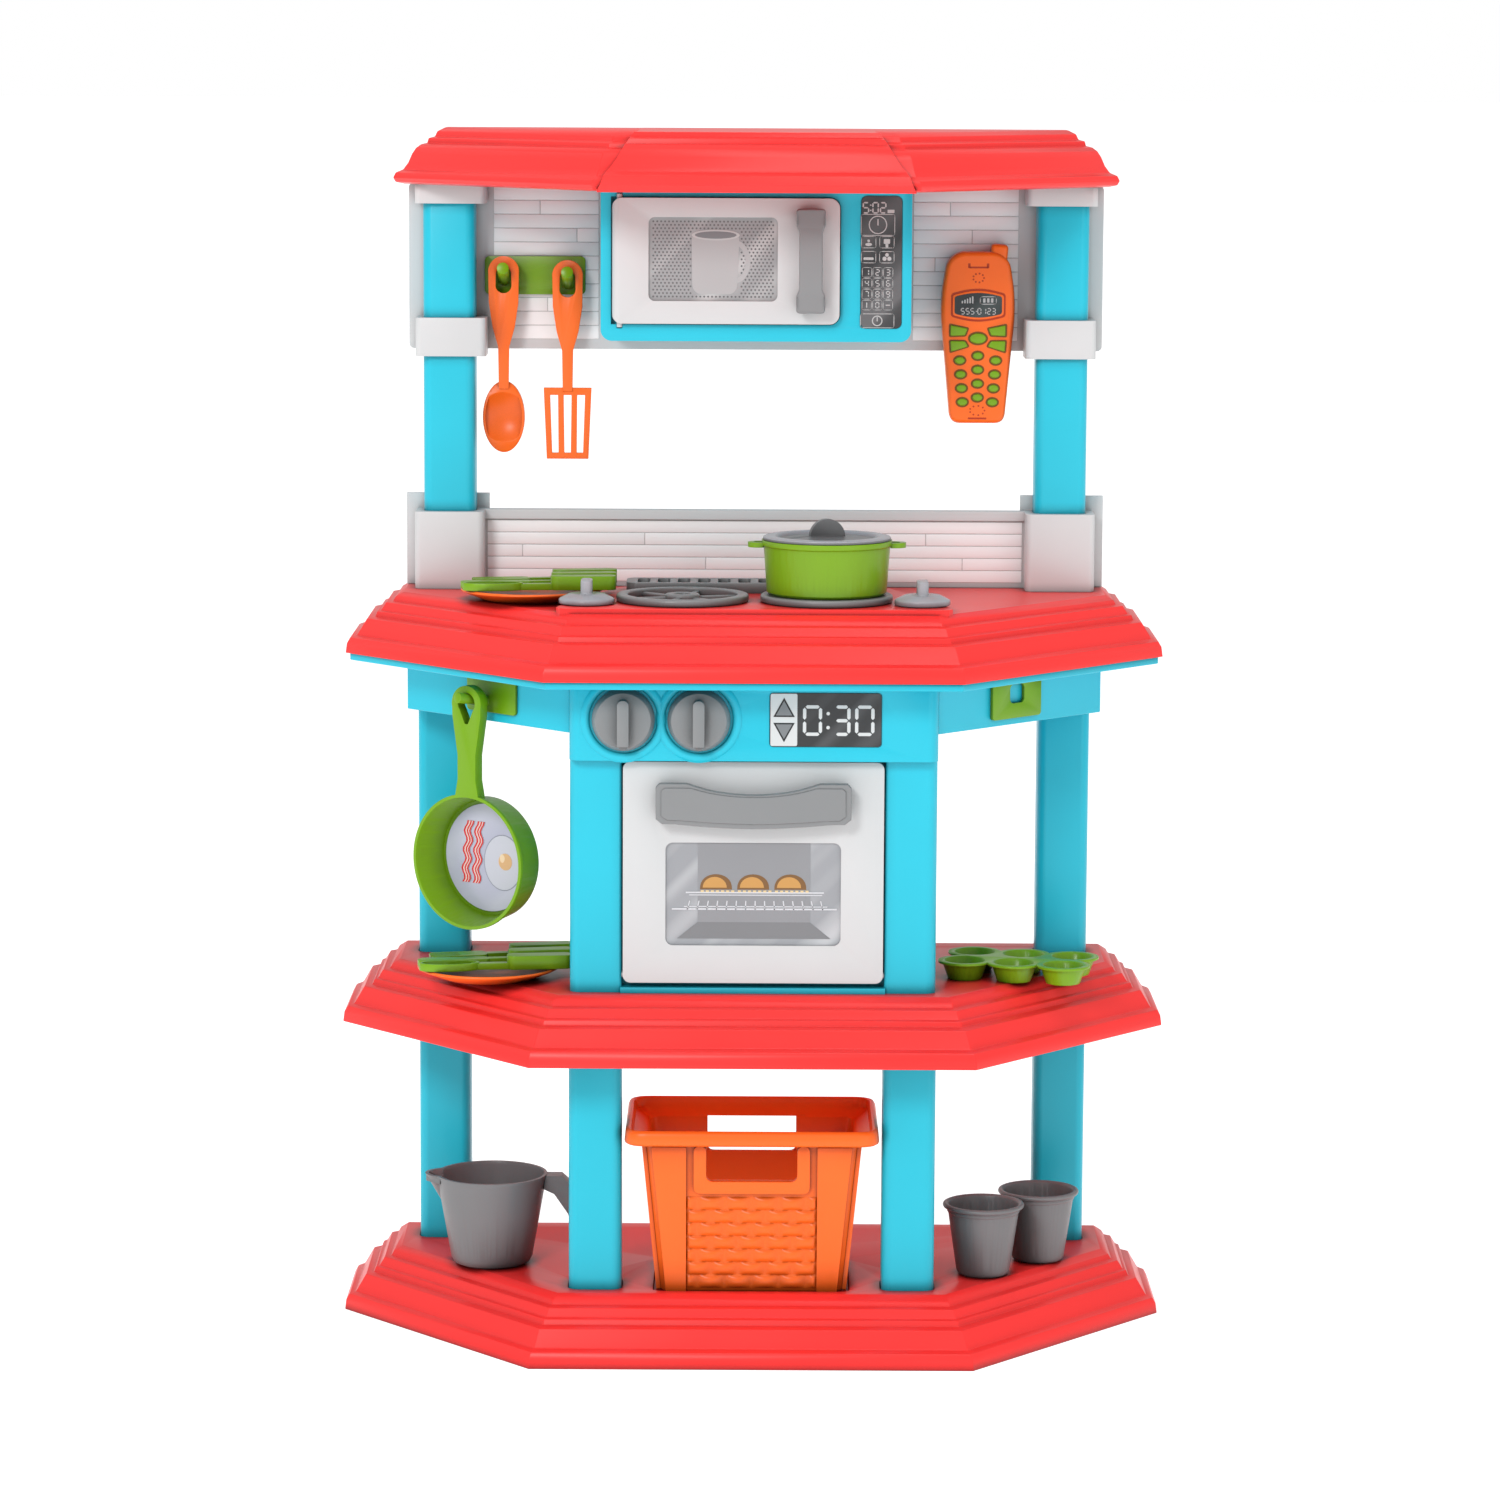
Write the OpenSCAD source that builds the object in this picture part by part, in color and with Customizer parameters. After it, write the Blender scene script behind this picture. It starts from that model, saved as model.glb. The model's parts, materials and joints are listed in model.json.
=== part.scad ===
// Toy kitchen: three moulded tiers on posts, an oven, a hob, a microwave wall and a roof,
// with its pans, plates, cutlery, cups, basket and telephone.
// Origin: middle of the footprint on the floor. X to the right, Y to the back, Z up.

/* [Tiers] */
// Half width of the tiers at their rims
tier_half_w = 334; // [330:1:336]
// Half width of the straight front edge of the base and shelf
tier_front_half_w = 175; // [165:1:180]
// Distance of the front and back edges from the middle
tier_half_d = 143; // [142:1:145]
// Distance of the side corners behind the middle
side_corner_y = 43; // [40:1:50]
// Height of the base
base_h = 50; // [50:1:54]
// Height of the shelf's lower rim above the floor
shelf_z = 241; // [238:1:243]
// Height of the counter's lower rim above the floor
counter_z = 544; // [542:1:548]
// Height of the counter moulding
counter_h = 48; // [46:1:48]

/* [Posts] */
// Width of every post
post_w = 42; // [38:1:42]
// Depth of every post
post_d = 36; // [32:1:36]
// Distance of the lower rear posts from the middle
rear_post_x = 254; // [252:1:256]
// Distance of the front posts from the middle
front_post_x = 124.5; // [124:0.5:126]
// Distance of the upper posts from the middle
upper_post_x = 248.5; // [247:0.5:250]

/* [Wall and roof] */
// Half width of the white wall panel
wall_half_w = 283; // [280:1:285]
// Lower edge of the wall panel
wall_z = 785; // [780:1:788]
// Lower edge of the roof
roof_z = 919.5; // [919:0.5:922]
// Half width of the roof at its rim
roof_half_w = 293; // [290:1:297]
// Half width of the roof's straight front
roof_front_half_w = 127; // [122:1:130]

/* [Oven] */
// Width of the oven door
door_w = 205; // [200:1:205]
// Lower edge of the oven door
door_z = 299; // [299:0.5:300]
// Height of the oven door
door_h = 176; // [168:1:176]
// Radius of the oven knobs
oven_knob_r = 24.5; // [22:0.5:25]

/* [Microwave] */
// Width of the microwave
micro_w = 246; // [242:1:248]
// Width of the microwave door
micro_door_w = 180; // [178:1:181]
// Height of the microwave door
micro_door_h = 99; // [96:1:99]

/* [Tableware] */
// Outer radius of the plates
plate_r = 57; // [54:1:58]
// Outer radius of the pot at its rim
pot_r = 51.5; // [50:0.5:52]
// Height of the pot
pot_h = 43; // [40:1:45]
// Outer radius of the frying pan
pan_r = 54.5; // [52:0.5:55]
// Outer radius of the cups at their rims
cup_r = 33; // [31:1:33]
// Height of the cups
cup_h = 59; // [55:1:60]

/* [Hidden] */

red = "#f5403c";
blue = "#27c7dc";
green = "#78ad1c";
orange = "#fb6e2a";
grey = "#8a8b8d";
dark_grey = "#6e7072";
white = "#eceef0";

$fn = 48;
eps = 0.01;
wall = 3;               // wall of the large mouldings
gap = 0.3;              // air between loose pieces
fit = 0.05;             // radial clearance of a pin in its hole
slide_off = 20;         // slope of the pegs that things hang on

shelf_h = 49.5;
shelf_top = shelf_z + shelf_h;
counter_top = counter_z + counter_h;
pocket = 2;             // depth of the pockets that the posts stand in
rear_post_y = 108;
front_post_y = -66;
front_face_y = front_post_y - 19;
apron_z = 497;          // lower edge of the blue apron
tray_z = counter_z - 6; // the blue tray that carries the counter
counter_half_w = tier_half_w - 4;
counter_front_half_w = 163;
hob_h = 4;
hob_top = counter_top + hob_h;
wall_y = 127;           // front face of the wall panel
wall_top = roof_z;
micro_z = 799;
micro_top = 926;
micro_door_z = 813;
micro_door_x = -24;     // middle of the microwave door
micro_y = 0;
roof_h = 45;
roof_front_y = -100;
roof_corner_y = 88;

// Moulding profile: [how far in from the rim, height above the rim]
step_run = 46;
step_profile = [
    [0, 0], [1, 8], [3.5, 12.5], [9, 14.5], [17, 28], [23.5, 29.5], [25, 33.5],
    [28, 34.5], [32, 41], [37.5, 42], [39.5, 45.5], [46, 49.5]
];
step_inside = [[0, 0], [1, 9], [6, 10.5], [16, 25], [30, 34], [45, 45.5]];
roof_profile = [
    [9, 0], [2, 1.5], [0, 5], [2, 9], [8, 11.5], [12, 17], [15, 24], [18, 28.5],
    [22, 31.5], [27, 32.5], [28, 36.5], [33, 37.7], [35, 42], [41, 45]
];
roof_inside = [[10, 0], [11, 12], [18, 25], [26, 29.5], [38, 41]];

// ---------------------------------------------------------------- outlines and shells

// Six-sided outline, moved inwards by d at the front and sides and by b at the back
function outline(hw, fw, yf, ys, yb, d, b) =
    let (l = norm([hw - fw, ys - yf]), nx = (ys - yf) / l, ny = (hw - fw) / l,
         fx = fw - d * (1 - ny) / nx, sy = ys + d * (1 - nx) / ny)
    [[fx, yf + d], [hw - d, sy], [hw - d, yb - b], [-(hw - d), yb - b], [-(hw - d), sy], [-fx, yf + d]];

function ring_at(points, z) = [for (p = points) [p.x, p.y, z]];

// A shell that follows an outline: its outside and inside are stacks of rings
module moulded_shell(hw, fw, yf, ys, yb, outside, inside, back_wall, side_wall) {
    n = 6;
    out_rings = [for (p = outside) ring_at(outline(hw, fw, yf, ys, yb, p.x, 0), p.y)];
    in_rings = [for (p = inside)
        ring_at(outline(hw, fw, yf, ys, yb, p.x + side_wall, back_wall), p.y)];
    a = len(outside);
    b = len(inside);
    points = [for (r = out_rings) for (p = r) p, for (r = in_rings) for (p = r) p];
    outer_faces = [for (k = [0:a - 2], i = [0:n - 1])
        [k * n + i, (k + 1) * n + i, (k + 1) * n + (i + 1) % n, k * n + (i + 1) % n]];
    inner_faces = [for (k = [a:a + b - 2], i = [0:n - 1])
        [k * n + i, k * n + (i + 1) % n, (k + 1) * n + (i + 1) % n, (k + 1) * n + i]];
    top = [[for (i = [n - 1:-1:0]) (a - 1) * n + i]];
    ceiling = [[for (i = [0:n - 1]) (a + b - 1) * n + i]];
    rim = [for (i = [0:n - 1]) [i, (i + 1) % n, a * n + (i + 1) % n, a * n + i]];
    polyhedron(points, concat(outer_faces, inner_faces, top, ceiling, rim), convexity = 8);
}

// One red tier with its stepped edge, scaled to a run and a height
module tier(hw, fw, h, run, side_wall) {
    k = run / step_run;
    m = h / 49.5;
    outside = [for (p = step_profile) [p.x * k, p.y * m]];
    inside = [for (p = step_inside) [p.x * k, p.y * m]];
    moulded_shell(hw, fw, -tier_half_d, side_corner_y, tier_half_d,
                  outside, inside, wall, side_wall);
}

// ---------------------------------------------------------------- simple shapes

module rounded(w, d, r) {
    square([w - 2 * r, d], center = true);
    square([w, d - 2 * r], center = true);
    for (sx = [-1, 1], sy = [-1, 1])
        translate([sx * (w / 2 - r), sy * (d / 2 - r)]) circle(r);
}

// Upright block with rounded corners, standing on z = 0
module block(w, d, h, r) {
    linear_extrude(h) rounded(w, d, r);
}

// Standing plate: its front face is at y = 0 and it reaches back by t
module panel(w, h, t, r) {
    rotate([90, 0, 0]) translate([0, 0, -t]) linear_extrude(t) rounded(w, h, r);
}

// Everything in front of or behind a flat shape drawn in x and z
module standing(t) {
    rotate([90, 0, 0]) translate([0, 0, -t]) linear_extrude(t) children();
}

module bar(x0, x1, y0, y1, z0, z1) {
    translate([x0, y0, z0]) cube([x1 - x0, y1 - y0, z1 - z0]);
}

// Straight rod from a point, leaning up out of a face that looks to the front
module peg(r, l, lean) {
    rotate([90 - lean, 0, 0]) cylinder(h = l, r = r);
}

module post(h) {
    block(post_w, post_d, h, 8);
}

module in_pair(x) {
    for (s = [-1, 1]) translate([s * x, 0, 0]) children();
}

// ---------------------------------------------------------------- base and lower posts

module post_pocket(z) {
    translate([0, 0, z - pocket]) block(post_w + 1, post_d + 1, pocket + 1, 8.5);
}

basket_y = -32;
basket_h = 134;
basket_z = base_h - pocket;

module base() color(red) difference() {
    union() {
        tier(tier_half_w, tier_front_half_w, base_h, step_run, wall);
        for (x = [-190, -70, 70, 190]) bar(x - 1.5, x + 1.5, -35, 141, 18, base_h - 3.9);
    }
    in_pair(rear_post_x) translate([0, rear_post_y, 0]) post_pocket(base_h);
    in_pair(front_post_x) translate([0, front_post_y, 0]) post_pocket(base_h);
    translate([0, basket_y, basket_z]) block(156, 112, pocket + 1, 6);
}

module lower_post(x, y) color(blue)
    translate([x, y, base_h - pocket]) post(shelf_z + shelf_h * 45.5 / 49.5 - base_h + pocket);

module lower_rear_post_left() lower_post(-rear_post_x, rear_post_y);
module lower_rear_post_right() lower_post(rear_post_x, rear_post_y);
module lower_front_post_left() lower_post(-front_post_x, front_post_y);
module lower_front_post_right() lower_post(front_post_x, front_post_y);

// ---------------------------------------------------------------- shelf and oven

oven_half_w = front_post_x + post_w / 2 - 1;   // outer edge of the oven front

module middle_shelf() color(red) difference() {
    translate([0, 0, shelf_z]) tier(tier_half_w, tier_front_half_w, shelf_h, step_run, wall);
    in_pair(rear_post_x) translate([0, rear_post_y, 0]) post_pocket(shelf_top);
}

module middle_rear_post(x) color(blue)
    translate([x, rear_post_y, shelf_top - pocket]) post(tray_z + 3 - shelf_top + pocket);
module middle_rear_post_left() middle_rear_post(-rear_post_x);
module middle_rear_post_right() middle_rear_post(rear_post_x);

door_back_y = front_face_y + 8;        // back face of the oven door
door_t = 11;
door_front_y = door_back_y - door_t;
hinge_y = front_face_y + 4;
hinge_z = door_z + 5.5;
hinge_r = 2.5;
column_w = 41;
column_x = oven_half_w - column_w / 2;
control_z = 477;                       // lower edge of the bulging control panel
control_y = -98;
knob_z = 510;
oven_knob_x = [-102, -43];
oven_top = tray_z + 3;

// Column with a soft outer edge and a crisp edge beside the door
module column() {
    linear_extrude(oven_top - shelf_top) {
        rounded(column_w, 38, 8);
        translate([-column_w / 4, 0]) rounded(column_w / 2, 38, 2.5);
    }
}

module oven_front() color(blue) difference() {
    union() {
        for (s = [0, 1]) mirror([s, 0, 0])
            translate([column_x, front_post_y, shelf_top]) column();
        bar(-door_w / 2 - 2, door_w / 2 + 2, hinge_y + 9.5, hinge_y + 13, shelf_top, control_z);
        bar(-door_w / 2 - 2, door_w / 2 + 2, front_face_y - 3, hinge_y + 11, shelf_top, door_z - 4);
        difference() {
            translate([0, control_y + 22.5, control_z]) block(2 * oven_half_w, 45, oven_top - control_z, 9);
            bar(-oven_half_w + 6, oven_half_w - 6, control_y + 4, control_y + 60, control_z + 4, oven_top + 1);
        }
    }
    bar(-86, 86, hinge_y, hinge_y + 20, 318, 455);
    bar(-100, 100, hinge_y + 13, control_y + 60, control_z - 1, oven_top + 1);
    for (s = [-1, 1]) translate([s * (door_w / 2 + 1.5), hinge_y, hinge_z])
        rotate([0, 90, 0]) cylinder(h = 18, r = hinge_r + fit, center = true);
    for (x = oven_knob_x) translate([x, control_y - 1, knob_z]) rotate([-90, 0, 0])
        cylinder(h = 8, r = 4 + fit);
    translate([56, control_y - 1, knob_z]) panel(88, 43, 2, 3);
}

module oven_box() color(blue) difference() {
    bar(-100, 100, hinge_y + 13, 62, shelf_top, oven_top);
    bar(-97, 97, hinge_y + 12, 59, shelf_top + 4, 462);
    bar(-97, 97, hinge_y + 16, 59, 465, oven_top - 3);
    bar(-60, 60, 50, 70, 480, 520);
}

// Flat door shell, open at the back, standing on z = 0 with its front face at y = 0
module door_shell(w, h, t, r) {
    difference() {
        translate([0, 0, h / 2]) panel(w, h, t, r);
        translate([0, 2.5, h / 2]) panel(w - 6, h - 6, t, r - 2);
    }
}

oven_window_w = 138;
oven_window_h = 82;
oven_window_z = 370;

module oven_door() color(white) {
    difference() {
        translate([0, door_front_y, door_z]) door_shell(door_w, door_h, door_t, 6);
        translate([0, door_front_y - 1, oven_window_z]) panel(oven_window_w, oven_window_h, door_t, 6);
    }
    for (s = [-1, 1]) {
        translate([s * (door_w / 2 + 3), hinge_y, hinge_z]) rotate([0, 90, 0])
            cylinder(h = 9, r = hinge_r, center = true);
        translate([s * (door_w / 2 - 4), hinge_y, hinge_z]) rotate([0, 90, 0])
            cylinder(h = 7, r = 4, center = true);
    }
}

module oven_window() color("#b9bcc0")
    translate([0, door_front_y + 2.5, oven_window_z])
        panel(oven_window_w + 10, oven_window_h + 10, 2, 5);

oven_handle_z = 444;

module oven_handle() color(grey) translate([0, door_front_y, oven_handle_z]) {
    for (s = [-1, 1]) translate([s * 68, -14, 0]) panel(15, 30, 14, 4);
    translate([0, -20, 0]) standing(7) intersection() {
        translate([0, 300]) difference() {
            circle(r = 317, $fn = 180);
            circle(r = 291, $fn = 180);
        }
        translate([0, -1]) rounded(152, 36, 6);
    }
}

// Control knob whose back face is at z = 0, with a finger fin across it
module knob(r, t, fin_w, fin_h) {
    cylinder(h = t * 0.45, r = r);
    translate([0, 0, t * 0.45]) cylinder(h = t * 0.55, r1 = r, r2 = r - 3);
    translate([0, 0, t - eps]) difference() {
        translate([0, -r * 0.12, 0]) block(fin_w, r * 1.62, fin_h, fin_w * 0.48);
        translate([0, 0, fin_h]) rotate([0, 90, 0]) translate([-2.5, -r, -fin_w])
            cube([9, 5, 2 * fin_w]);
    }
}

module oven_knob(x) color(grey) translate([x, control_y - gap, knob_z]) {
    rotate([90, 0, 0]) knob(oven_knob_r, 11, 9, 9);
    rotate([-90, 0, 0]) translate([0, 0, -1]) cylinder(h = 7, r = 4);
}
module oven_knob_left() oven_knob(oven_knob_x[0]);
module oven_knob_right() oven_knob(oven_knob_x[1]);

module timer_panel() color("#3b3d40")
    translate([56, control_y - 0.5, knob_z]) panel(87, 42, 1.5, 3);

// ---------------------------------------------------------------- apron and counter

skirt_x = 281;
skirt_back_y = 55;
skirt_front_x = oven_half_w;

// Line of the apron wing: from beside the oven, out and back, then along the side
function skirt_line(d) = [
    [skirt_front_x - d, front_face_y + d * 0.4], [skirt_x - d, skirt_back_y + d * 0.4], [skirt_x - d, 132]
];

module skirt() {
    outer = skirt_line(0);
    inner = skirt_line(wall);
    linear_extrude(tray_z + 4 - apron_z)
        polygon([outer[0], outer[1], outer[2], inner[2], inner[1], outer[0] + [0, 4.3]]);
}

module tray_shape(d) polygon(
    outline(counter_half_w, counter_front_half_w, -tier_half_d, side_corner_y, tier_half_d, d, d));

module counter_apron() color(blue) {
    translate([0, 0, tray_z]) difference() {
        linear_extrude(6) tray_shape(3.5);
        translate([0, 0, -1]) linear_extrude(4) tray_shape(9);
    }
    for (s = [0, 1]) mirror([s, 0, 0]) translate([0, 0, apron_z]) skirt();
}

// The raised hob is wide at its knobs and narrower towards the back
module hob_outline() polygon([
    [-146, -94], [146, -94], [152, -91], [155, -85], [154, -76], [110, 64], [107, 69], [102, 71],
    [-102, 71], [-107, 69], [-110, 64], [-154, -76], [-155, -85], [-152, -91]
]);

module countertop() color(red) difference() {
    union() {
        translate([0, 0, counter_z]) tier(counter_half_w, counter_front_half_w, counter_h, step_run, 4.5);
        translate([0, 0, counter_top - 2]) linear_extrude(hob_h + 2) hob_outline();
        for (x = [-170, -60, 60, 170]) bar(x - 1.5, x + 1.5, -50, 141, counter_z + 1, counter_top - 3.5);
    }
    for (x = hob_knob_x) translate([x, hob_y, hob_top - 8]) cylinder(h = 10, r = 4 + fit);
}

wing_x = skirt_x - skirt_front_x;
wing_y = skirt_back_y - front_face_y;
wing_l = norm([wing_x, wing_y]);
wing_angle = atan2(wing_y, wing_x);     // how far the apron wings turn from the front
hook_at = 90;           // distance of the hook plates along the wing from its front end
hook_plate_z = 520;
hook_plate_t = 3;

// Something on the face of an apron wing: side -1 is the left wing, 1 the right;
// the distance runs along the wing from its front end, and -y points straight out
module on_wing(side, along, z) {
    translate([side * (skirt_front_x + along * wing_x / wing_l), front_face_y + along * wing_y / wing_l, z])
        rotate([0, 0, side * wing_angle]) children();
}

module pan_hook_plate() color(green) on_wing(-1, hook_at, hook_plate_z) {
    translate([0, -hook_plate_t, 0]) panel(58, 31, hook_plate_t, 3);
    translate([-pan_peg_side, -1, pan_peg_z]) peg(pan_peg_r, 32, pan_lean);
}

module slot_hook_plate() color(green) on_wing(1, hook_at, hook_plate_z - 2) difference() {
    translate([0, -hook_plate_t, 0]) panel(58, 31, hook_plate_t, 3);
    translate([0, -10, 4]) panel(17, 15, 20, 4);
}

// ---------------------------------------------------------------- hob

hob_y = -58;
hob_knob_x = [-132, 132];
burner_x = 57;
burner_y = -34;
burner_h = 6;

// Ring of a square bar with its upper edges cut off, standing on z = 0
module ring(r_in, r_out, h, cut) rotate_extrude($fn = 96) polygon([
    [r_in, 0], [r_out, 0], [r_out, h - cut], [r_out - cut, h], [r_in + cut, h], [r_in, h - cut]
]);

module burner(x) color(grey) translate([x, burner_y, hob_top]) {
    ring(44, 52, burner_h, 2);
    ring(8, 13, burner_h - 1, 1);
    for (a = [0:60:300]) rotate([0, 0, a + 15]) bar(12, 45, -2, 2, 0.5, 3.5);
}
module burner_left() burner(-burner_x);
module burner_right() burner(burner_x);

module grill_grate() color(grey) translate([0, 44, hob_top]) difference() {
    block(206, 42, 8, 9);
    for (i = [-5.5:5.5]) translate([i * 16.2, 0, 3]) block(10, 30, 6, 3);
}

module hob_knob(x) color(grey) translate([x, hob_y, hob_top + gap]) {
    cylinder(h = 4, r = 22);
    translate([0, 0, 4]) cylinder(h = 4, r1 = 22, r2 = 14);
    translate([0, 0, 8 - eps]) block(9, 24, 11, 4);
    translate([0, 0, -7]) cylinder(h = 8, r = 4);
}
module hob_knob_left() hob_knob(hob_knob_x[0]);
module hob_knob_right() hob_knob(hob_knob_x[1]);

// ---------------------------------------------------------------- backsplash, upper posts, wall

socket_top = 655;

module backsplash() color(white) difference() {
    union() {
        in_pair(upper_post_x) translate([0, 104.5, counter_top]) block(56, 45, socket_top - counter_top, 5);
        in_pair(upper_post_x + 3) bar(-34, 34, 122, 127, counter_top, 667);
        bar(-222, 222, 111, 115, counter_top, socket_top);
        bar(-222, 222, 108, 119, 647, socket_top);
        bar(-222, 222, 111, 123, counter_top, counter_top + 3);
    }
    in_pair(upper_post_x) translate([0, rear_post_y, counter_top - 1])
        block(post_w + 0.4, post_d + 0.4, 80, 8.2);
}

upper_post_top = roof_z + 22;

module upper_post(x) color(blue) difference() {
    translate([x, rear_post_y, counter_top])
        post(upper_post_top - counter_top);
    screw_holes();
}
module upper_post_left() upper_post(-upper_post_x);
module upper_post_right() upper_post(upper_post_x);

phone_at = [180.5, 112, 797];
phone_peg_z = 34;

// Strap round an upper post, on the side s, between two heights
module strap(s, z0, z1) {
    difference() {
        translate([s * (upper_post_x - 1.5), 106, z0]) block(57, 44, z1 - z0, 5);
        translate([s * upper_post_x, rear_post_y, z0 - 1]) block(post_w + 0.4, post_d + 0.4, z1 - z0 + 2, 8.2);
        translate([s * upper_post_x, 0, 0]) bar(-40, 40, wall_y, wall_y + 20, z0 - 1, z1 + 1);
    }
}

module wall_panel() color(white) {
    h = wall_top - wall_z;
    difference() {
        translate([0, wall_y, wall_z + h / 2]) panel(2 * wall_half_w, h, 13, 4);
        translate([0, wall_y + wall, wall_z + h / 2]) panel(2 * wall_half_w - 6, h - 6, 13, 2);
        screw_holes();
    }
    difference() {
        for (s = [-1, 1]) {
            strap(s, 781, 812);
            strap(s, 904, roof_z);
        }
        screw_holes();
    }
    translate([phone_at.x, wall_y + 1, phone_at.z + phone_peg_z - 5.3]) peg(3, 14, slide_off);
}

// ---------------------------------------------------------------- microwave

micro_hinge_x = micro_door_x - micro_door_w / 2 + 6;
micro_pin_r = 2.2;
micro_window_x = -34;
micro_window_z = 864;
micro_handle_x = 43;
keypad_x = 99;
keypad_z = 862;

module microwave_frame() color(blue) difference() {
    translate([0, micro_y, (micro_z + micro_top) / 2]) panel(micro_w, micro_top - micro_z, wall_y - micro_y, 9);
    translate([micro_door_x, micro_y - 1, micro_door_z + micro_door_h / 2])
        panel(micro_door_w + 1.6, micro_door_h + 1.6, 8, 8.8);
    bar(micro_hinge_x - 6.8, micro_hinge_x + 8, micro_y - 1, micro_y + 7,
        micro_door_z - 0.8, micro_door_z + micro_door_h + 0.8);
    difference() {
        bar(-micro_w / 2 + 4, micro_w / 2 - 4, micro_y + 10, wall_y + 1, micro_z + 4, micro_top - 4);
        bar(-99, 61, micro_y, 115, 819, 906);
    }
    bar(-96, 58, micro_y, 112, 822, 903);
    translate([micro_hinge_x, micro_y, micro_door_z + micro_door_h / 2])
        cylinder(h = micro_door_h + 8, r = micro_pin_r + fit, center = true);
    translate([keypad_x, micro_y - 1, keypad_z]) panel(33, 105, 2, 5);
}

module microwave_door() color(white) {
    difference() {
        intersection() {
            translate([0, 0, micro_door_z]) linear_extrude(micro_door_h) {
                translate([micro_hinge_x, micro_y]) circle(6);
                translate([micro_door_x + 3, micro_y]) square([micro_door_w - 6, 12], center = true);
            }
            translate([micro_door_x, micro_y - 10, micro_door_z + micro_door_h / 2])
                panel(micro_door_w, micro_door_h, 20, 8);
        }
        bar(micro_hinge_x + 9, 63, micro_y - 3.5, micro_y + 7, micro_door_z + 3, micro_door_z + micro_door_h - 3);
        translate([micro_window_x, micro_y - 7, micro_window_z]) panel(102, 66, 10, 5);
    }
    translate([micro_hinge_x, micro_y, micro_door_z + micro_door_h / 2])
        cylinder(h = micro_door_h + 6, r = micro_pin_r, center = true);
}

module microwave_window() color("#b9bcc0")
    translate([micro_window_x, micro_y - 3.5, micro_window_z]) panel(110, 74, 2, 4);

module microwave_handle() color(grey)
    translate([micro_handle_x, micro_y - 6, 863.5]) {
        for (s = [-1, 1]) translate([0, -15, s * 33]) panel(23, 15, 15, 4);
        translate([0, -22, 0]) panel(15, 82, 7, 5);
        for (s = [-1, 1]) translate([0, -22, s * 33]) panel(23, 15, 7, 4);
    }

module microwave_keypad() color("#3b3d40")
    translate([keypad_x, micro_y - 0.5, keypad_z]) panel(32, 104, 1.5, 4.5);

// ---------------------------------------------------------------- roof

module roof() color(red) translate([0, 0, roof_z])
    moulded_shell(roof_half_w, roof_front_half_w, roof_front_y, roof_corner_y, tier_half_d,
                  roof_profile, roof_inside, wall, 2);

// ---------------------------------------------------------------- things that hang

hook_plate_x = -180;
hook_z = 845;
utensil_y = 108;
spoon_x = -205;
spatula_x = -153;
peg_r = 4.8;
peg_root = [hook_z - 4, hook_z - 7];   // heights of the spoon's and the spatula's pegs at the plate
peg_rise = tan(slide_off);

module utensil_hook_plate() color(green) {
    translate([hook_plate_x, wall_y - 5, hook_z]) panel(82, 31, 5, 4);
    translate([spoon_x, wall_y - 4, peg_root[0]]) peg(peg_r, 32, slide_off);
    translate([spatula_x, wall_y - 4, peg_root[1]]) peg(peg_r, 32, slide_off);
}

eye_rise = (wall_y - 4 - utensil_y) * peg_rise;  // how far a peg has risen where a utensil hangs
eye_drop = 15.2 - gap - peg_r / cos(slide_off) - 2.5 * peg_rise;   // the eye's top rests over the peg

// Handle drawn in x and z from its top end: eye, swelling and neck
module utensil_handle(l) {
    translate([0, 11]) circle(12.5);
    polygon([[-12.4, 11], [12.4, 11], [12, -14], [9, -34], [4.5, -50], [4, -l], [-4, -l],
             [-4.5, -50], [-9, -34], [-12, -14]]);
}

module eye() {
    hull() {
        translate([0, 3]) circle(6.2);
        translate([0, -6]) circle(6.5);
    }
}

module spoon() color(orange) translate([spoon_x, utensil_y - 2.5, peg_root[0] + eye_rise - eye_drop]) difference() {
    union() {
        standing(5) difference() {
            utensil_handle(84);
            translate([0, 6]) eye();
        }
        translate([0, 2.5, -107]) intersection() {
            scale([17 / 29, 1, 1]) rotate([90, 0, 0]) cylinder(h = 12, r = 29, center = true);
            translate([0, 66.5, 0]) sphere(r = 72, $fn = 96);
        }
    }
    translate([0, 2.5, -107]) intersection() {
        scale([15 / 27, 1, 1]) rotate([90, 0, 0]) cylinder(h = 30, r = 27, center = true);
        translate([0, -28.5, 0]) sphere(r = 33, $fn = 96);
    }
}

module spatula() color(orange) translate([spatula_x, utensil_y - 2.5, peg_root[1] + eye_rise - eye_drop]) {
    standing(5) difference() {
        utensil_handle(83);
        translate([0, 6]) eye();
    }
    translate([0, 0.8, 0]) standing(3.4) difference() {
        polygon([[-19.5, -80], [19.5, -80], [17, -138], [-17, -138]]);
        for (s = [-1, 0, 1]) translate([s * 11, 0])
            polygon([[-3.2, -86], [3.2, -86], [2.6 - s, -133], [-2.6 - s, -133]]);
    }
}

// Outline of the telephone in x and z, about its own middle
module phone_outline() {
    hull() for (x = [-1, 1]) {
        translate([x * 12, 48]) circle(r = 16, $fn = 32);
        translate([x * 21, 22]) circle(r = 10, $fn = 32);
    }
    hull() for (x = [-1, 1]) {
        translate([x * 21, 22]) circle(r = 10, $fn = 32);
        translate([x * 11, -58]) circle(r = 12, $fn = 32);
    }
    translate([18, 60]) square([16, 20], center = true);
}

module phone_body() color(orange) translate(phone_at) difference() {
    union() {
        translate([0, -11, 0]) standing(22) phone_outline();
    }
    translate([0, -12, 24]) panel(50, 26, 3, 9);
    translate([0, -12, -27]) panel(48, 66, 3, 8);
    translate([0, 17, phone_peg_z - 6.5]) peg(5, 22, slide_off);
}

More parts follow.
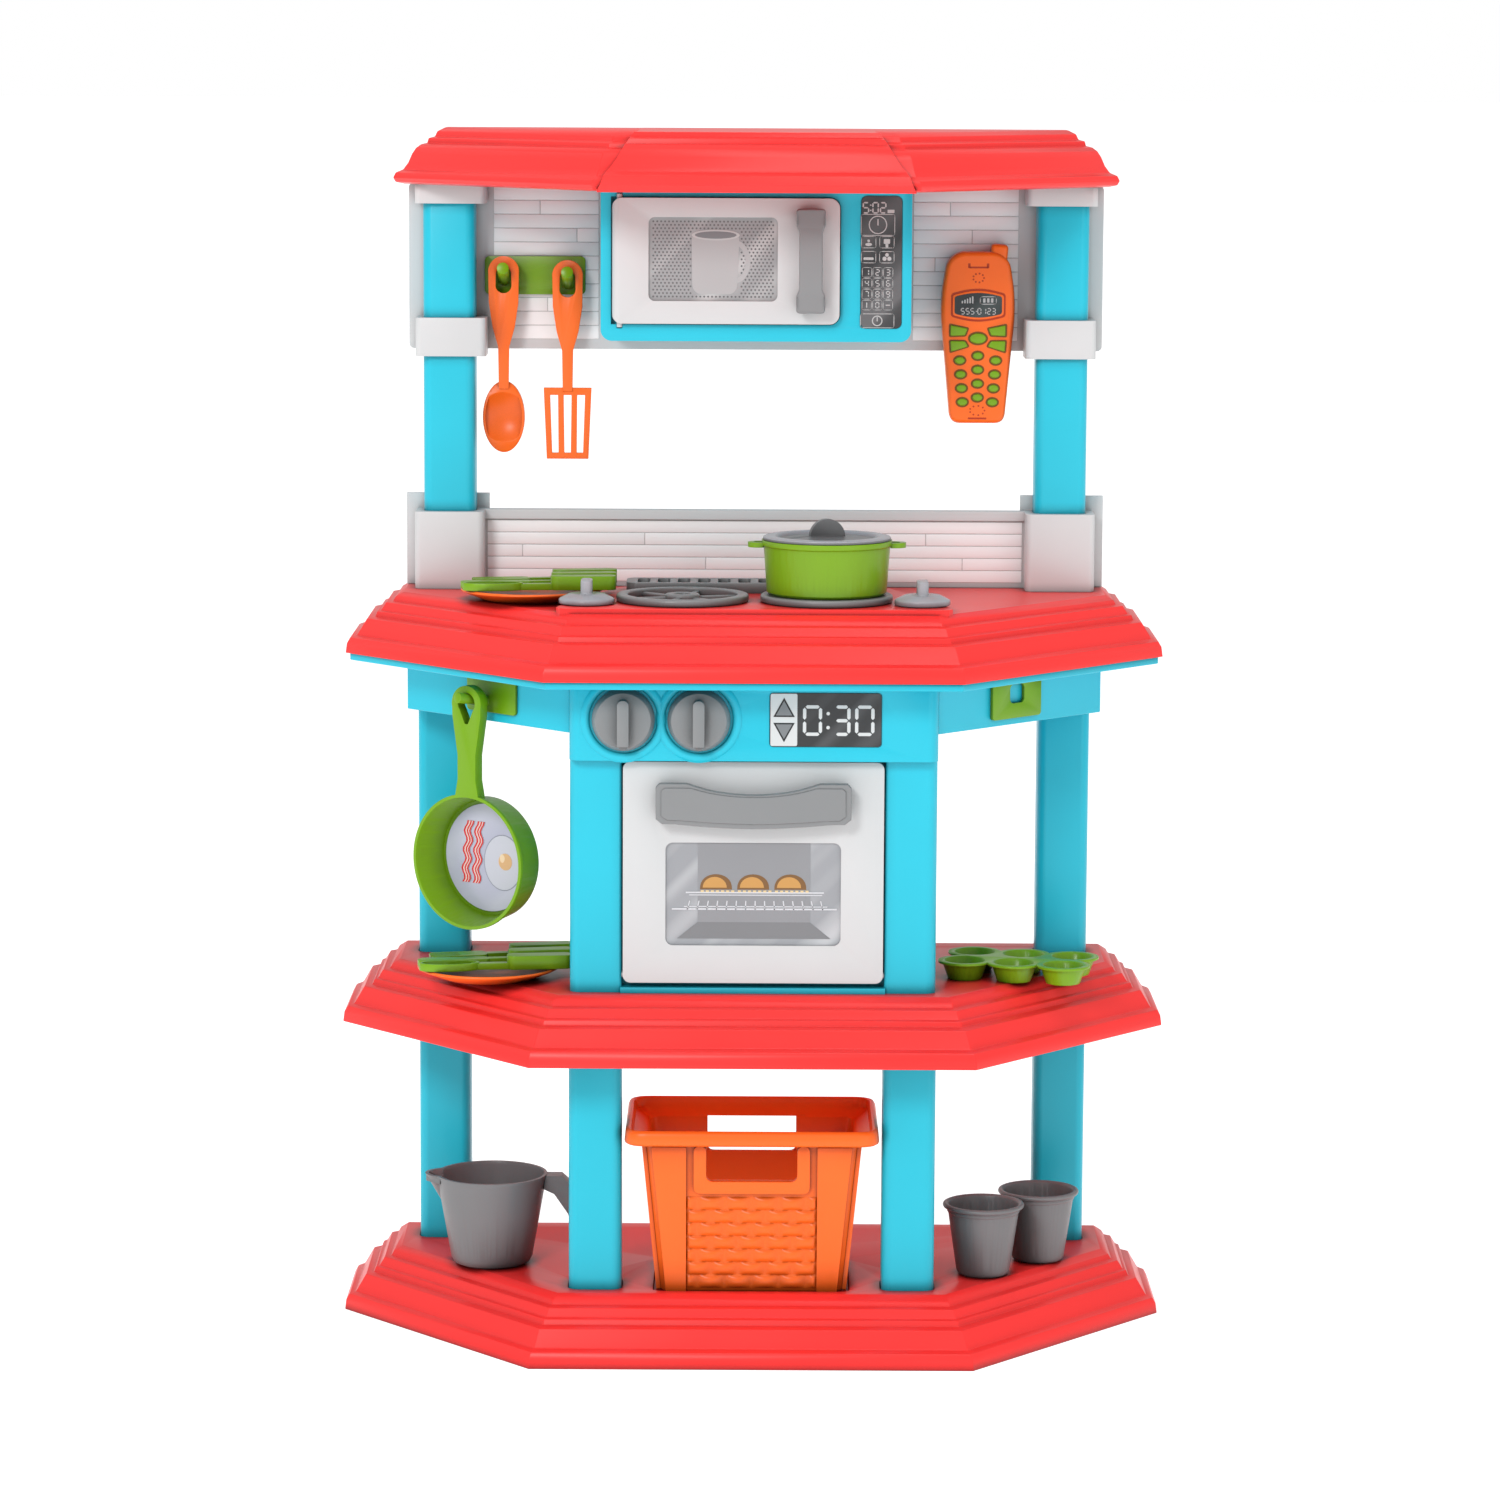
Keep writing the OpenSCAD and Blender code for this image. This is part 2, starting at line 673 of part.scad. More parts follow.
module phone_screen() color("#5f6468") translate(phone_at)
    translate([0, -10, 24]) panel(49.4, 25.4, 1, 8.7);

module phone_keypad() color(green) translate(phone_at) {
    translate([0, -10, -27]) panel(47.4, 65.4, 1, 7.7);
    for (x = [-15, 0, 15]) for (i = [0:3])
        translate([x, -12, -22 - i * 10 + (x == 0 ? 2 : 0)]) panel(10, 7, 2, 3.4);
    for (x = [-15, 0, 15]) translate([x, -12, -5]) panel(13, 8, 2, 3.9);
    for (x = [-9, 9]) translate([x, -12, -13.5]) panel(12, 6, 2, 2.9);
}

// ---------------------------------------------------------------- pots and pans

module pot() color(green) translate([burner_x, burner_y, hob_top + burner_h + gap]) {
    difference() {
        rotate_extrude($fn = 96) polygon([
            [0, 0], [45.5, 0], [47.5, 2], [50, pot_h - 5], [pot_r, pot_h - 4], [pot_r, pot_h],
            [pot_r - 3.5, pot_h], [47.3, pot_h - 6], [45, 2.5], [0, 2.5]
        ]);
    }
    for (s = [0, 1]) mirror([s, 0, 0]) translate([pot_r - 2, 0, pot_h - 6]) difference() {
        union() {
            translate([4, 0, 0]) cylinder(h = 4, r = 9);
            bar(1, 4, -9, 9, 0, 4);
        }
        translate([4, 0, -1]) cylinder(h = 6, r = 4.5);
        bar(-1, 4, -4.5, 4.5, -1, 5);
        translate([2 - pot_r, 0, -1]) cylinder(h = 6, r = pot_r - 1);
    }
}

lid_z = hob_top + burner_h + gap + pot_h + gap;

module pot_lid() color(dark_grey) translate([burner_x, burner_y, lid_z]) {
    rotate_extrude($fn = 96) polygon([
        [0, -0.5], [40, -3], [46, -3], [46.8, 0], [50.5, 0], [50.5, 1.6], [46, 2], [40, 0.5], [14, 2.5], [0, 2.5]
    ]);
    translate([0, 0, 2]) rotate([0, 0, 12]) rotate([90, 0, 0]) translate([0, 0, -3.5]) difference() {
        cylinder(h = 7, r = 14);
        translate([-20, -20, -1]) cube([40, 20, 9]);
    }
}

pan_peg_r = 4.2;
pan_peg_z = -7;         // height of the peg's root about the middle of its plate
pan_peg_side = 6.5;
pan_lean = 10;          // slope of the peg
pan_out = 24;           // how far the pan's rim stands out from the wing
pan_depth = 32;
pan_handle_t = 9;
pan_turn = 10.7;        // the pan hangs turned towards the front by this much
pan_eye_z = 127.5;      // from the pan's middle up to the middle of its eye
pan_eye_r = 8.5;
pan_peg_at = pan_eye_z + pan_eye_r - gap - pan_peg_r / cos(pan_lean) - pan_handle_t / 2 * tan(pan_lean);
pan_z = hook_plate_z + pan_peg_z + (pan_out - 1 - pan_handle_t / 2) * tan(pan_lean) - pan_peg_at;

// Pan in the frame of its wing: rim plane at y = 0, bowl towards the back
module pan_shape() {
    rotate([-90, 0, 0]) rotate_extrude($fn = 96) polygon([
        [pan_r - 2.6, 0], [pan_r, 0], [pan_r, 3], [pan_r - 1.5, 4], [pan_r - 5, pan_depth - 2],
        [pan_r - 7, pan_depth], [0, pan_depth], [0, pan_depth - 2.6], [pan_r - 8, pan_depth - 2.6]
    ]);
    difference() {
        standing(pan_handle_t) difference() {
            union() {
                polygon([[-12, pan_r - 4], [12, pan_r - 4], [9, 66], [9, 86], [14.2, 118], [14.2, 128],
                         [-14.2, 128], [-14.2, 118], [-9, 86], [-9, 66]]);
                translate([0, pan_eye_z - 0.5]) circle(14.6);
            }
            translate([0, pan_eye_z]) circle(pan_eye_r);
            polygon([[-8.2, 125.5], [8.2, 125.5], [1.5, 111], [-1.5, 111]]);
        }
        translate([0, -1, 0]) rotate([-90, 0, 0]) cylinder(h = 20, r = pan_r - 2.7);
    }
}

module at_pan() on_wing(-1, hook_at, pan_z) translate([-pan_peg_side, pan_handle_t / 2 - pan_out, 0])
    rotate([0, 0, pan_turn]) translate([0, -pan_handle_t / 2, 0]) children();

module pan() color(green) at_pan() pan_shape();
module pan_picture() color("#c3c4d4") at_pan()
    translate([0, pan_depth - 2.6, 0]) rotate([90, 0, 0]) cylinder(h = 0.8, r = pan_r - 11);

module dish(r) rotate_extrude($fn = 96) polygon([
    [0, 0], [r - 20, 0], [r - 3, 6.5], [r, 8], [r - 1, 9.8], [r - 4, 8.6], [r - 21, 2.2], [0, 2.2]
]);

counter_plate_at = [-178, 8, counter_top];
shelf_plate_at = [-212, -18, shelf_top];
cutlery_lift = 10.2;

// Cutlery lies along x with its grip to the right; the head differs
module grip() {
    translate([18, 0, 0]) difference() {
        union() {
            translate([24, 0, 0]) block(52, 15, 11, 6);
            translate([-30, -4, 0]) cube([38, 8, 5]);
        }
        translate([24, 0, -1]) block(44, 8, 7, 3);
    }
}

module fork_head() translate([-26, 0, 0]) difference() {
    block(46, 20, 5, 6);
    for (y = [-5.2, 0, 5.2]) translate([-12, y, -1]) block(26, 2.2, 6, 1);
}
module knife_head() translate([-28, 0, 0]) {
    block(58, 13, 5, 5);
    translate([-14, 3, 0]) block(26, 11, 5, 4.5);
}
module spoon_head() translate([-30, 0, 0]) difference() {
    scale([1, 0.44, 1]) cylinder(h = 6, r = 24);
    translate([0, 0, 1.6]) scale([1, 0.4, 1]) cylinder(h = 6, r = 21.5);
}

// Pieces fan out across the plate, one beside the other
module laid(plate_at, y, turn, lift) {
    translate(plate_at + [0, y, cutlery_lift + lift]) rotate([0, 0, turn]) children();
}

module fork() { grip(); fork_head(); }
module knife() { grip(); knife_head(); }
module spoon_small() { grip(); spoon_head(); }

module counter_plate() color(orange) translate(counter_plate_at) dish(plate_r);
module counter_fork() color(green) laid(counter_plate_at, 23, 11, 0) fork();
module counter_knife() color(green) laid(counter_plate_at, 0, 9, 0) knife();
module counter_spoon() color(green) laid(counter_plate_at, -23, 6, 0) spoon_small();

module shelf_plate() color(orange) translate(shelf_plate_at) dish(plate_r);
module shelf_fork() color(green) laid(shelf_plate_at, 23, 13, 0) fork();
module shelf_knife() color(green) laid(shelf_plate_at, 0, 11, 0) knife();
module shelf_spoon() color(green) laid(shelf_plate_at, -23, 8, 0) spoon_small();

tin_at = [214, -6, shelf_top];
tin_h = 15;
tin_pitch = 40;

module muffin_tin() color(green) translate(tin_at) rotate([0, 0, -14]) {
    difference() {
        union() {
            translate([0, 0, tin_h - 2.2]) linear_extrude(2.2) {
                for (x = [-1, 0, 1], y = [-0.5, 0.5]) translate([x, y] * tin_pitch) circle(21.5);
                square([2 * tin_pitch, tin_pitch], center = true);
            }
            for (x = [-1, 0, 1], y = [-0.5, 0.5]) translate([x * tin_pitch, y * tin_pitch, 0])
                cylinder(h = tin_h, r1 = 13.5, r2 = 18.8);
        }
        for (x = [-1, 0, 1], y = [-0.5, 0.5]) translate([x * tin_pitch, y * tin_pitch, 1.8])
            cylinder(h = tin_h, r1 = 11.8, r2 = 17);
    }
}

jug_at = [-211, 6, base_h];
jug_h = 74;
jug_r = 45;

module jug() color(dark_grey) translate(jug_at) {
    difference() {
        union() {
            rotate_extrude($fn = 96) polygon([
                [0, 0], [27, 0], [31, 2], [33, 6], [jug_r - 0.6, jug_h - 3], [jug_r, jug_h], [0, jug_h]
            ]);
            translate([-jug_r + 8, 0, jug_h]) mirror([0, 0, 1]) cylinder(h = 26, r1 = 17, r2 = 2);
            translate([0, 0, jug_h - 6]) linear_extrude(6) polygon([
                [-jug_r + 4, 18], [-jug_r + 4, -18], [-jug_r - 8, -4], [-jug_r - 8, 4]
            ]);
        }
        rotate_extrude($fn = 96) polygon([
            [0, 2.6], [28, 2.6], [30.5, 7], [jug_r - 3, jug_h - 3], [jug_r - 2.4, jug_h + 1], [0, jug_h + 1]
        ]);
        translate([-jug_r + 9, 0, jug_h + 0.1]) mirror([0, 0, 1]) cylinder(h = 22, r1 = 14.5, r2 = 1);
        translate([0, 0, jug_h - 4]) linear_extrude(6) polygon([
            [-jug_r + 6, 13], [-jug_r + 6, -13], [-jug_r - 6, -2.6], [-jug_r - 6, 2.6]
        ]);
    }
    translate([0, -8, 0]) standing(16) polygon([
        [jug_r - 1, jug_h - 1], [jug_r + 12, jug_h - 1], [jug_r + 24, jug_h - 12], [jug_r + 33, 20],
        [jug_r + 27, 16], [jug_r + 17, 42], [jug_r + 6, jug_h - 16], [jug_r - 2.5, jug_h - 12]
    ]);
}

module cup() {
    rotate_extrude($fn = 96) polygon([
        [0, 0], [18, 0], [20.5, 1.5], [21.5, 4], [cup_r - 4.6, cup_h - 8], [cup_r - 3.6, cup_h - 7],
        [cup_r - 3.4, cup_h - 4.5], [cup_r - 0.8, cup_h - 3.6], [cup_r, cup_h - 2], [cup_r - 0.8, cup_h - 0.4],
        [cup_r - 3, cup_h], [cup_r - 5, cup_h - 1.5], [20, 4], [19, 2.4], [0, 2.4]
    ]);
}
cup_front_at = [187, -26, base_h];
cup_back_at = [234, 24, base_h];
module cup_front() color(grey) translate(cup_front_at) cup();
module cup_back() color(grey) translate(cup_back_at) cup();

// Tapered box: w1 by d1 at the bottom, w2 by d2 at the top
module taper(w1, d1, w2, d2, h, r) {
    hull() {
        linear_extrude(eps) rounded(w1, d1, r, $fn = 32);
        translate([0, 0, h - eps]) linear_extrude(eps) rounded(w2, d2, r, $fn = 32);
    }
}

module basket() color(orange) translate([0, basket_y, basket_z]) difference() {
    union() {
        taper(146, 98, 172, 118, basket_h - 1, 9);
        translate([0, 0, basket_h - 13]) taper(182, 128, 202, 142, 13, 9);
    }
    translate([0, 0, 2.4]) taper(141, 93, 167, 113, basket_h - 12, 7);
    translate([0, 0, basket_h - 11]) taper(168, 114, 197, 137, 11.1, 7);
    translate([0, 0, basket_h - 28]) rotate([90, 0, 0]) linear_extrude(200, center = true)
        rounded(72, 28, 7);
}

// ---------------------------------------------------------------- fixings

screw_r = 1.8;
screw_l = 14;
screw_z = [798, 912];

module screw_places() in_pair(upper_post_x) for (z = screw_z)
    translate([0, wall_y + wall, z]) rotate([90, 0, 0]) children();

// Holes through the wall panel and into the upper posts
module screw_holes() screw_places() translate([0, 0, -1]) cylinder(h = screw_l + 2, r = screw_r + 0.1);

module assembly_screws() color("silver") screw_places() {
    cylinder(h = screw_l, r = screw_r);
    translate([0, 0, -2]) difference() {
        cylinder(h = 2, r = 4);
        bar(-3, 3, -0.5, 0.5, -1, 1);
        bar(-0.5, 0.5, -3, 3, -1, 1);
    }
}

base();
lower_rear_post_left();
lower_rear_post_right();
lower_front_post_left();
lower_front_post_right();
middle_shelf();
middle_rear_post_left();
middle_rear_post_right();
oven_front();
oven_box();
oven_door();
oven_handle();
oven_window();
oven_knob_left();
oven_knob_right();
timer_panel();
counter_apron();
countertop();
pan_hook_plate();
slot_hook_plate();
burner_left();
burner_right();
grill_grate();
hob_knob_left();
hob_knob_right();
backsplash();
upper_post_left();
upper_post_right();
wall_panel();
microwave_frame();
microwave_door();
microwave_handle();
microwave_window();
microwave_keypad();
roof();
utensil_hook_plate();
spoon();
spatula();
phone_body();
phone_keypad();
phone_screen();
pot();
pot_lid();
pan();
pan_picture();
counter_plate();
counter_fork();
counter_knife();
counter_spoon();
shelf_plate();
shelf_fork();
shelf_knife();
shelf_spoon();
muffin_tin();
jug();
cup_front();
cup_back();
basket();
assembly_screws();
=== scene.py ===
import json
import math

import bmesh
import bpy
from mathutils import Matrix, Vector


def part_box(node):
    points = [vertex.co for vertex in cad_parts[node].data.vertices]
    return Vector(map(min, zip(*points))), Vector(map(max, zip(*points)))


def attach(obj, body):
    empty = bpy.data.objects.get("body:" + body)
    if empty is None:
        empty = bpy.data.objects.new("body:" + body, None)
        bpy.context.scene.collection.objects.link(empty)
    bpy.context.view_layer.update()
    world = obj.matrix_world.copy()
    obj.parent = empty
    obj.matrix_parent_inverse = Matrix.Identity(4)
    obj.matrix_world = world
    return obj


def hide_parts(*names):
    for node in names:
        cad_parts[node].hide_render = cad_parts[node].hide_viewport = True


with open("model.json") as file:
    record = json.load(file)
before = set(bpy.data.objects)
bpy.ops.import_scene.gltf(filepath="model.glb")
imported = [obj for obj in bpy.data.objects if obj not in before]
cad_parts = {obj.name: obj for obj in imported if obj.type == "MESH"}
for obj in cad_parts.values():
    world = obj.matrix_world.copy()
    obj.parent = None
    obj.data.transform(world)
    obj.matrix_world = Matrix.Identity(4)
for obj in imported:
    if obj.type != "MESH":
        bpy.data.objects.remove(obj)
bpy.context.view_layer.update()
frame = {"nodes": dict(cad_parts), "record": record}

mm = 0.001
bodyOf = {n: b for b, names in frame["record"]["behaviour"]["bodies"].items() for n in names}
slotOf = {s["node"]: s["material_slot"] for s in frame["record"]["subparts"]}

plastics = {  # colour, roughness, grain height, mottle
    "red_moulding": ((0.92, 0.036, 0.034), 0.30, 0.08, 0.05),
    "blue_moulding": ((0.016, 0.50, 0.65), 0.33, 0.10, 0.06),
    "white_moulding": ((0.58, 0.59, 0.595), 0.36, 0.10, 0.04),
    "green_plastic": ((0.175, 0.36, 0.006), 0.30, 0.06, 0.08),
    "orange_plastic": ((0.94, 0.150, 0.014), 0.32, 0.06, 0.06),
    "grey_plastic": ((0.23, 0.235, 0.24), 0.33, 0.08, 0.06),
    "dark_grey_plastic": ((0.178, 0.181, 0.186), 0.36, 0.08, 0.06),
    "pale_grey": ((0.36, 0.365, 0.395), 0.24, 0.06, 0.05),
    # the planks are the same white plastic as the moulding, painted paler: painted light against the shade
    # under the roof
    "plank_white": ((0.88, 0.885, 0.89), 0.42, 0.10, 0.04),
}
steelSet = ((0.55, 0.56, 0.57), 0.3, 0.05, 0.1)
inkSet = (0.3, 0.03, 0.06)  # roughness, grain and mottle of every print
plasticSet = {"cloudScale": 14, "cloudDetail": 4, "skinScale": 900, "skinDetail": 2, "skinDepth": 0.0004,
              "smoother": 0.05, "rougher": 0.07, "specular": 0.32, "redSpecular": 0.24}


def nodeAt(tree, kind, x, y, sockets=None, **values):
    node = tree.nodes.new(kind)
    node.location = (x, y)
    for key, value in values.items():
        setattr(node, key, value)
    for key, value in (sockets or {}).items():
        node.inputs[key].default_value = value
    return node


def newLook(name, colour):
    look = bpy.data.materials.new(name)
    look.use_nodes = True
    look.diffuse_color = (*colour, 1)
    return look, look.node_tree, look.node_tree.nodes["Principled BSDF"]


def plastic(name, colour, roughness, grain, mottle):  # mottled colour, uneven polish, fine grain
    look, tree, shader = newLook(name, colour)
    place = nodeAt(tree, "ShaderNodeTexCoord", -1100, 0)
    cloud = nodeAt(tree, "ShaderNodeTexNoise", -850, 200,
                   {"Scale": plasticSet["cloudScale"], "Detail": plasticSet["cloudDetail"]})
    tint = nodeAt(tree, "ShaderNodeMix", -500, 250,
                  {"A": (*[c * (1 - mottle) for c in colour], 1),
                   "B": (*[min(1, c * (1 + mottle * 0.6)) for c in colour], 1)}, data_type="RGBA")
    sheen = nodeAt(tree, "ShaderNodeMapRange", -500, 0,
                   {"To Min": roughness - plasticSet["smoother"],
                    "To Max": roughness + plasticSet["rougher"]})
    skin = nodeAt(tree, "ShaderNodeTexNoise", -850, -250,
                  {"Scale": plasticSet["skinScale"], "Detail": plasticSet["skinDetail"]})
    bump = nodeAt(tree, "ShaderNodeBump", -300, -250,
                  {"Strength": grain, "Distance": plasticSet["skinDepth"]})
    link = tree.links.new
    link(place.outputs["Object"], cloud.inputs["Vector"])
    link(place.outputs["Object"], skin.inputs["Vector"])
    link(cloud.outputs["Fac"], tint.inputs["Factor"])
    link(cloud.outputs["Fac"], sheen.inputs["Value"])
    link(skin.outputs["Fac"], bump.inputs["Height"])
    link(tint.outputs["Result"], shader.inputs["Base Color"])
    link(sheen.outputs["Result"], shader.inputs["Roughness"])
    link(bump.outputs["Normal"], shader.inputs["Normal"])
    shader.inputs["Specular IOR Level"].default_value = plasticSet["specular"]
    return look


looks = {name: plastic(name, *values) for name, values in plastics.items()}
# painted shade: ambient occlusion darkens the base colour in grooves and hollows
grooveShadeSet = {"samples": 6, "shut": 0.45, "open": 0.94}
paintedGrooveShade = {  # painted shade in grooves: how far a groove is felt, and how dark the painted shade gets
    "red_moulding": (0.011, 0.20), "orange_plastic": (0.026, 0.42), "white_moulding": (0.008, 0.66),
    "blue_moulding": (0.010, 0.55), "grey_plastic": (0.022, 0.40), "dark_grey_plastic": (0.045, 0.32),
    "green_plastic": (0.020, 0.50), "plank_white": (0.004, 0.90), "pale_grey": (0.016, 0.5),
}


def paintShadeIntoGrooves(look, reach, dark):  # paints shade into the colour in grooves and inside vessels
    tree = look.node_tree
    shader = tree.nodes["Principled BSDF"]
    source = shader.inputs["Base Color"].links[0].from_socket
    grooveShade = nodeAt(tree, "ShaderNodeAmbientOcclusion", -500, 500, {"Distance": reach},
                    samples=grooveShadeSet["samples"])
    span = nodeAt(tree, "ShaderNodeMapRange", -300, 500,
                  {"From Min": grooveShadeSet["shut"], "From Max": grooveShadeSet["open"], "To Min": dark})
    # base colour times the painted shade
    deep = nodeAt(tree, "ShaderNodeVectorMath", -120, 400, operation="SCALE")
    tree.links.new(grooveShade.outputs["AO"], span.inputs["Value"])
    tree.links.new(source, deep.inputs[0])
    tree.links.new(span.outputs["Result"], deep.inputs["Scale"])
    tree.links.new(deep.outputs["Vector"], shader.inputs["Base Color"])


for name, shadeAmount in paintedGrooveShade.items():
    paintShadeIntoGrooves(looks[name], *shadeAmount)
redShader = looks["red_moulding"].node_tree.nodes["Principled BSDF"]
redShader.inputs["Specular IOR Level"].default_value = plasticSet["redSpecular"]

# spacing and strength of the painted glint streaks
paintedGlintSet = {"bands": 17, "detail": 1.5, "faint": 0.47, "full": 0.66, "roughness": 0.16}
paintedGlintFaces = {  # colour, painted glint colour
    "oven_window": ((0.29, 0.30, 0.32), (0.52, 0.53, 0.55)),
    "microwave_window": ((0.31, 0.315, 0.32), (0.54, 0.54, 0.54)),
    "timer_panel": ((0.018, 0.019, 0.021), (0.10, 0.10, 0.105)),
    "microwave_keypad": ((0.020, 0.021, 0.023), (0.11, 0.11, 0.115)),
    "phone_screen": ((0.012, 0.018, 0.020), (0.05, 0.07, 0.07)),
    "pan_picture": ((0.42, 0.42, 0.55), (0.50, 0.50, 0.62)),
}


def withPaintedGlints(name, colour, glint):  # a face whose colour carries slanting painted glints: painted reflections across it
    look, tree, shader = newLook(name, colour)
    place = nodeAt(tree, "ShaderNodeTexCoord", -1100, 0)
    axes = nodeAt(tree, "ShaderNodeSeparateXYZ", -900, 0)
    slant = nodeAt(tree, "ShaderNodeMath", -720, 0, operation="SUBTRACT")
    glintStreak = nodeAt(tree, "ShaderNodeTexNoise", -540, 0,
                    {"Scale": paintedGlintSet["bands"], "Detail": paintedGlintSet["detail"]}, noise_dimensions="1D")
    span = nodeAt(tree, "ShaderNodeMapRange", -360, 0,
                  {"From Min": paintedGlintSet["faint"], "From Max": paintedGlintSet["full"]})
    # mixes the painted glint, a painted reflection, into the face's colour along the streaks
    tint = nodeAt(tree, "ShaderNodeMix", -180, 0, {"A": (*colour, 1), "B": (*glint, 1)}, data_type="RGBA")
    link = tree.links.new
    link(place.outputs["Object"], axes.inputs["Vector"])
    link(axes.outputs["X"], slant.inputs[0])
    link(axes.outputs["Z"], slant.inputs[1])
    link(slant.outputs["Value"], glintStreak.inputs["W"])
    link(glintStreak.outputs["Fac"], span.inputs["Value"])
    link(span.outputs["Result"], tint.inputs["Factor"])
    link(tint.outputs["Result"], shader.inputs["Base Color"])
    shader.inputs["Roughness"].default_value = paintedGlintSet["roughness"]
    return look


def dress(node, look):
    for place in frame["nodes"][node].material_slots:
        place.material = look


# these faces get painted reflections as slanting glints in their colour
for node, colours in paintedGlintFaces.items():
    dress(node, withPaintedGlints(node + "_face", *colours))
steel = plastic("screw_steel", *steelSet)
steel.node_tree.nodes["Principled BSDF"].inputs["Metallic"].default_value = 1
dress("assembly_screws", steel)

printColours = {
    "white": (0.62, 0.62, 0.62), "ink": (0.02, 0.02, 0.022), "pictureLight": (0.265, 0.27, 0.285),
    "pictureMid": (0.20, 0.205, 0.215), "muffin": (0.55, 0.29, 0.085), "muffinDark": (0.2, 0.1, 0.035),
    "cream": (0.72, 0.55, 0.3), "wire": (0.60, 0.61, 0.64), "silver": (0.45, 0.45, 0.45),
    "mug": (0.41, 0.41, 0.415), "mugLight": (0.50, 0.50, 0.50), "bacon": (0.62, 0.03, 0.03),
    "baconFat": (0.75, 0.55, 0.55), "egg": (0.55, 0.55, 0.64), "yolk": (0.66, 0.40, 0.20),
    "yolkLight": (0.8, 0.6, 0.4), "panShade": (0.26, 0.27, 0.34), "screenDot": (0.13, 0.13, 0.135),
    "keyRim": (0.16, 0.07, 0.004), "orangeShade": (0.42, 0.035, 0.004),
}
prints = {name: plastic("print_" + name, colour, *inkSet) for name, colour in printColours.items()}
print("looks made:", len(bpy.data.materials))


def finishPiece(name, bm, body, slot, look, hides=(), bevel=0, segments=3, angle=30, sharp=40):
    mesh = bpy.data.meshes.new(name)
    bm.to_mesh(mesh)
    bm.free()
    piece = bpy.data.objects.new(name, mesh)
    bpy.context.scene.collection.objects.link(piece)
    mesh.materials.append(look)
    mesh.shade_smooth()
    if bevel:
        soft = piece.modifiers.new("softEdges", "BEVEL")
        soft.width = bevel * mm
        soft.segments = segments
        soft.limit_method = "ANGLE"
        soft.angle_limit = math.radians(angle)
        soft.harden_normals = True
        soft.use_clamp_overlap = True
    else:
        mesh.set_sharp_from_angle(angle=math.radians(sharp))
    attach(piece, body)
    if hides:
        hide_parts(*hides)
    return piece


copySet = {"merge": 0.02, "flat": 0.6}  # millimetres between doubles, degrees between faces that are one


def copyOf(node):
    bm = bmesh.new()
    bm.from_mesh(frame["nodes"][node].data)
    bmesh.ops.remove_doubles(bm, verts=bm.verts, dist=copySet["merge"] * mm)
    bmesh.ops.dissolve_limit(bm, angle_limit=math.radians(copySet["flat"]), verts=bm.verts, edges=bm.edges)
    return bm


def softened(node, bevel, segments=3, look=None):
    slot = slotOf[node]
    return finishPiece(node + "_soft", copyOf(node), bodyOf[node], slot, look or looks[slot],
                       hides=(node,), bevel=bevel, segments=segments)


# small tools for shapes, all sizes in millimetres


def eased(points, cut, steps=4):  # a line with its corners rounded
    out = [Vector(points[0])]
    for before, corner, after in zip(points, points[1:], points[2:]):
        before, corner, after = Vector(before), Vector(corner), Vector(after)
        reach = min(cut, (before - corner).length * 0.49, (after - corner).length * 0.49)
        start = corner + (before - corner).normalized() * reach
        end = corner + (after - corner).normalized() * reach
        for k in range(steps + 1):
            t = k / steps
            out.append(start * (1 - t) ** 2 + corner * 2 * t * (1 - t) + end * t ** 2)
    out.append(Vector(points[-1]))
    return out


def shift(x, y, z, turn=0, axis="Z"):
    return Matrix.Translation((x * mm, y * mm, z * mm)) @ Matrix.Rotation(math.radians(turn), 4, axis)


def join(bm, part, place=Matrix.Identity(4)):
    bmesh.ops.transform(part, matrix=place, verts=part.verts)
    carrier = bpy.data.meshes.new("carrier")
    part.to_mesh(carrier)
    part.free()
    bm.from_mesh(carrier)
    bpy.data.meshes.remove(carrier)


def cutAt(bm, spot, way, clear=False):
    bmesh.ops.bisect_plane(bm, geom=bm.verts[:] + bm.edges[:] + bm.faces[:], plane_co=Vector(spot) * mm,
                           plane_no=Vector(way).normalized(), clear_outer=clear)


def roundEdges(bm, edges, radius, segments=3):
    bmesh.ops.bevel(bm, geom=edges, offset=radius * mm, segments=segments, profile=0.5,
                    affect="EDGES", material=-1, clamp_overlap=True)


def turned(profile, cut=1.5, steps=96):  # spins a profile of (radius, height)
    bm = bmesh.new()
    line = [bm.verts.new((p.x * mm, 0, p.y * mm)) for p in eased(profile, cut)]
    edges = [bm.edges.new(pair) for pair in zip(line, line[1:])]
    bmesh.ops.spin(bm, geom=line + edges, cent=(0, 0, 0), axis=(0, 0, 1), angle=math.tau,
                   steps=steps, use_merge=True, use_duplicate=False)
    bmesh.ops.remove_doubles(bm, verts=bm.verts, dist=1e-6)
    bmesh.ops.recalc_face_normals(bm, faces=bm.faces)
    return bm


def slab(outline, depth, front=0):  # outline in x and z, from y = front back by depth
    bm = bmesh.new()
    face = bm.faces.new([bm.verts.new((x * mm, front * mm, z * mm)) for x, z in outline])
    pushed = bmesh.ops.extrude_face_region(bm, geom=[face])
    far = [v for v in pushed["geom"] if isinstance(v, bmesh.types.BMVert)]
    bmesh.ops.translate(bm, verts=far, vec=(0, depth * mm, 0))
    bmesh.ops.recalc_face_normals(bm, faces=bm.faces)
    return bm


def softBox(w, d, h, r=1, segments=3):
    bm = bmesh.new()
    bmesh.ops.create_cube(bm, size=1, matrix=Matrix.Diagonal((w * mm, d * mm, h * mm, 1)))
    roundEdges(bm, bm.edges[:], r, segments)
    return bm


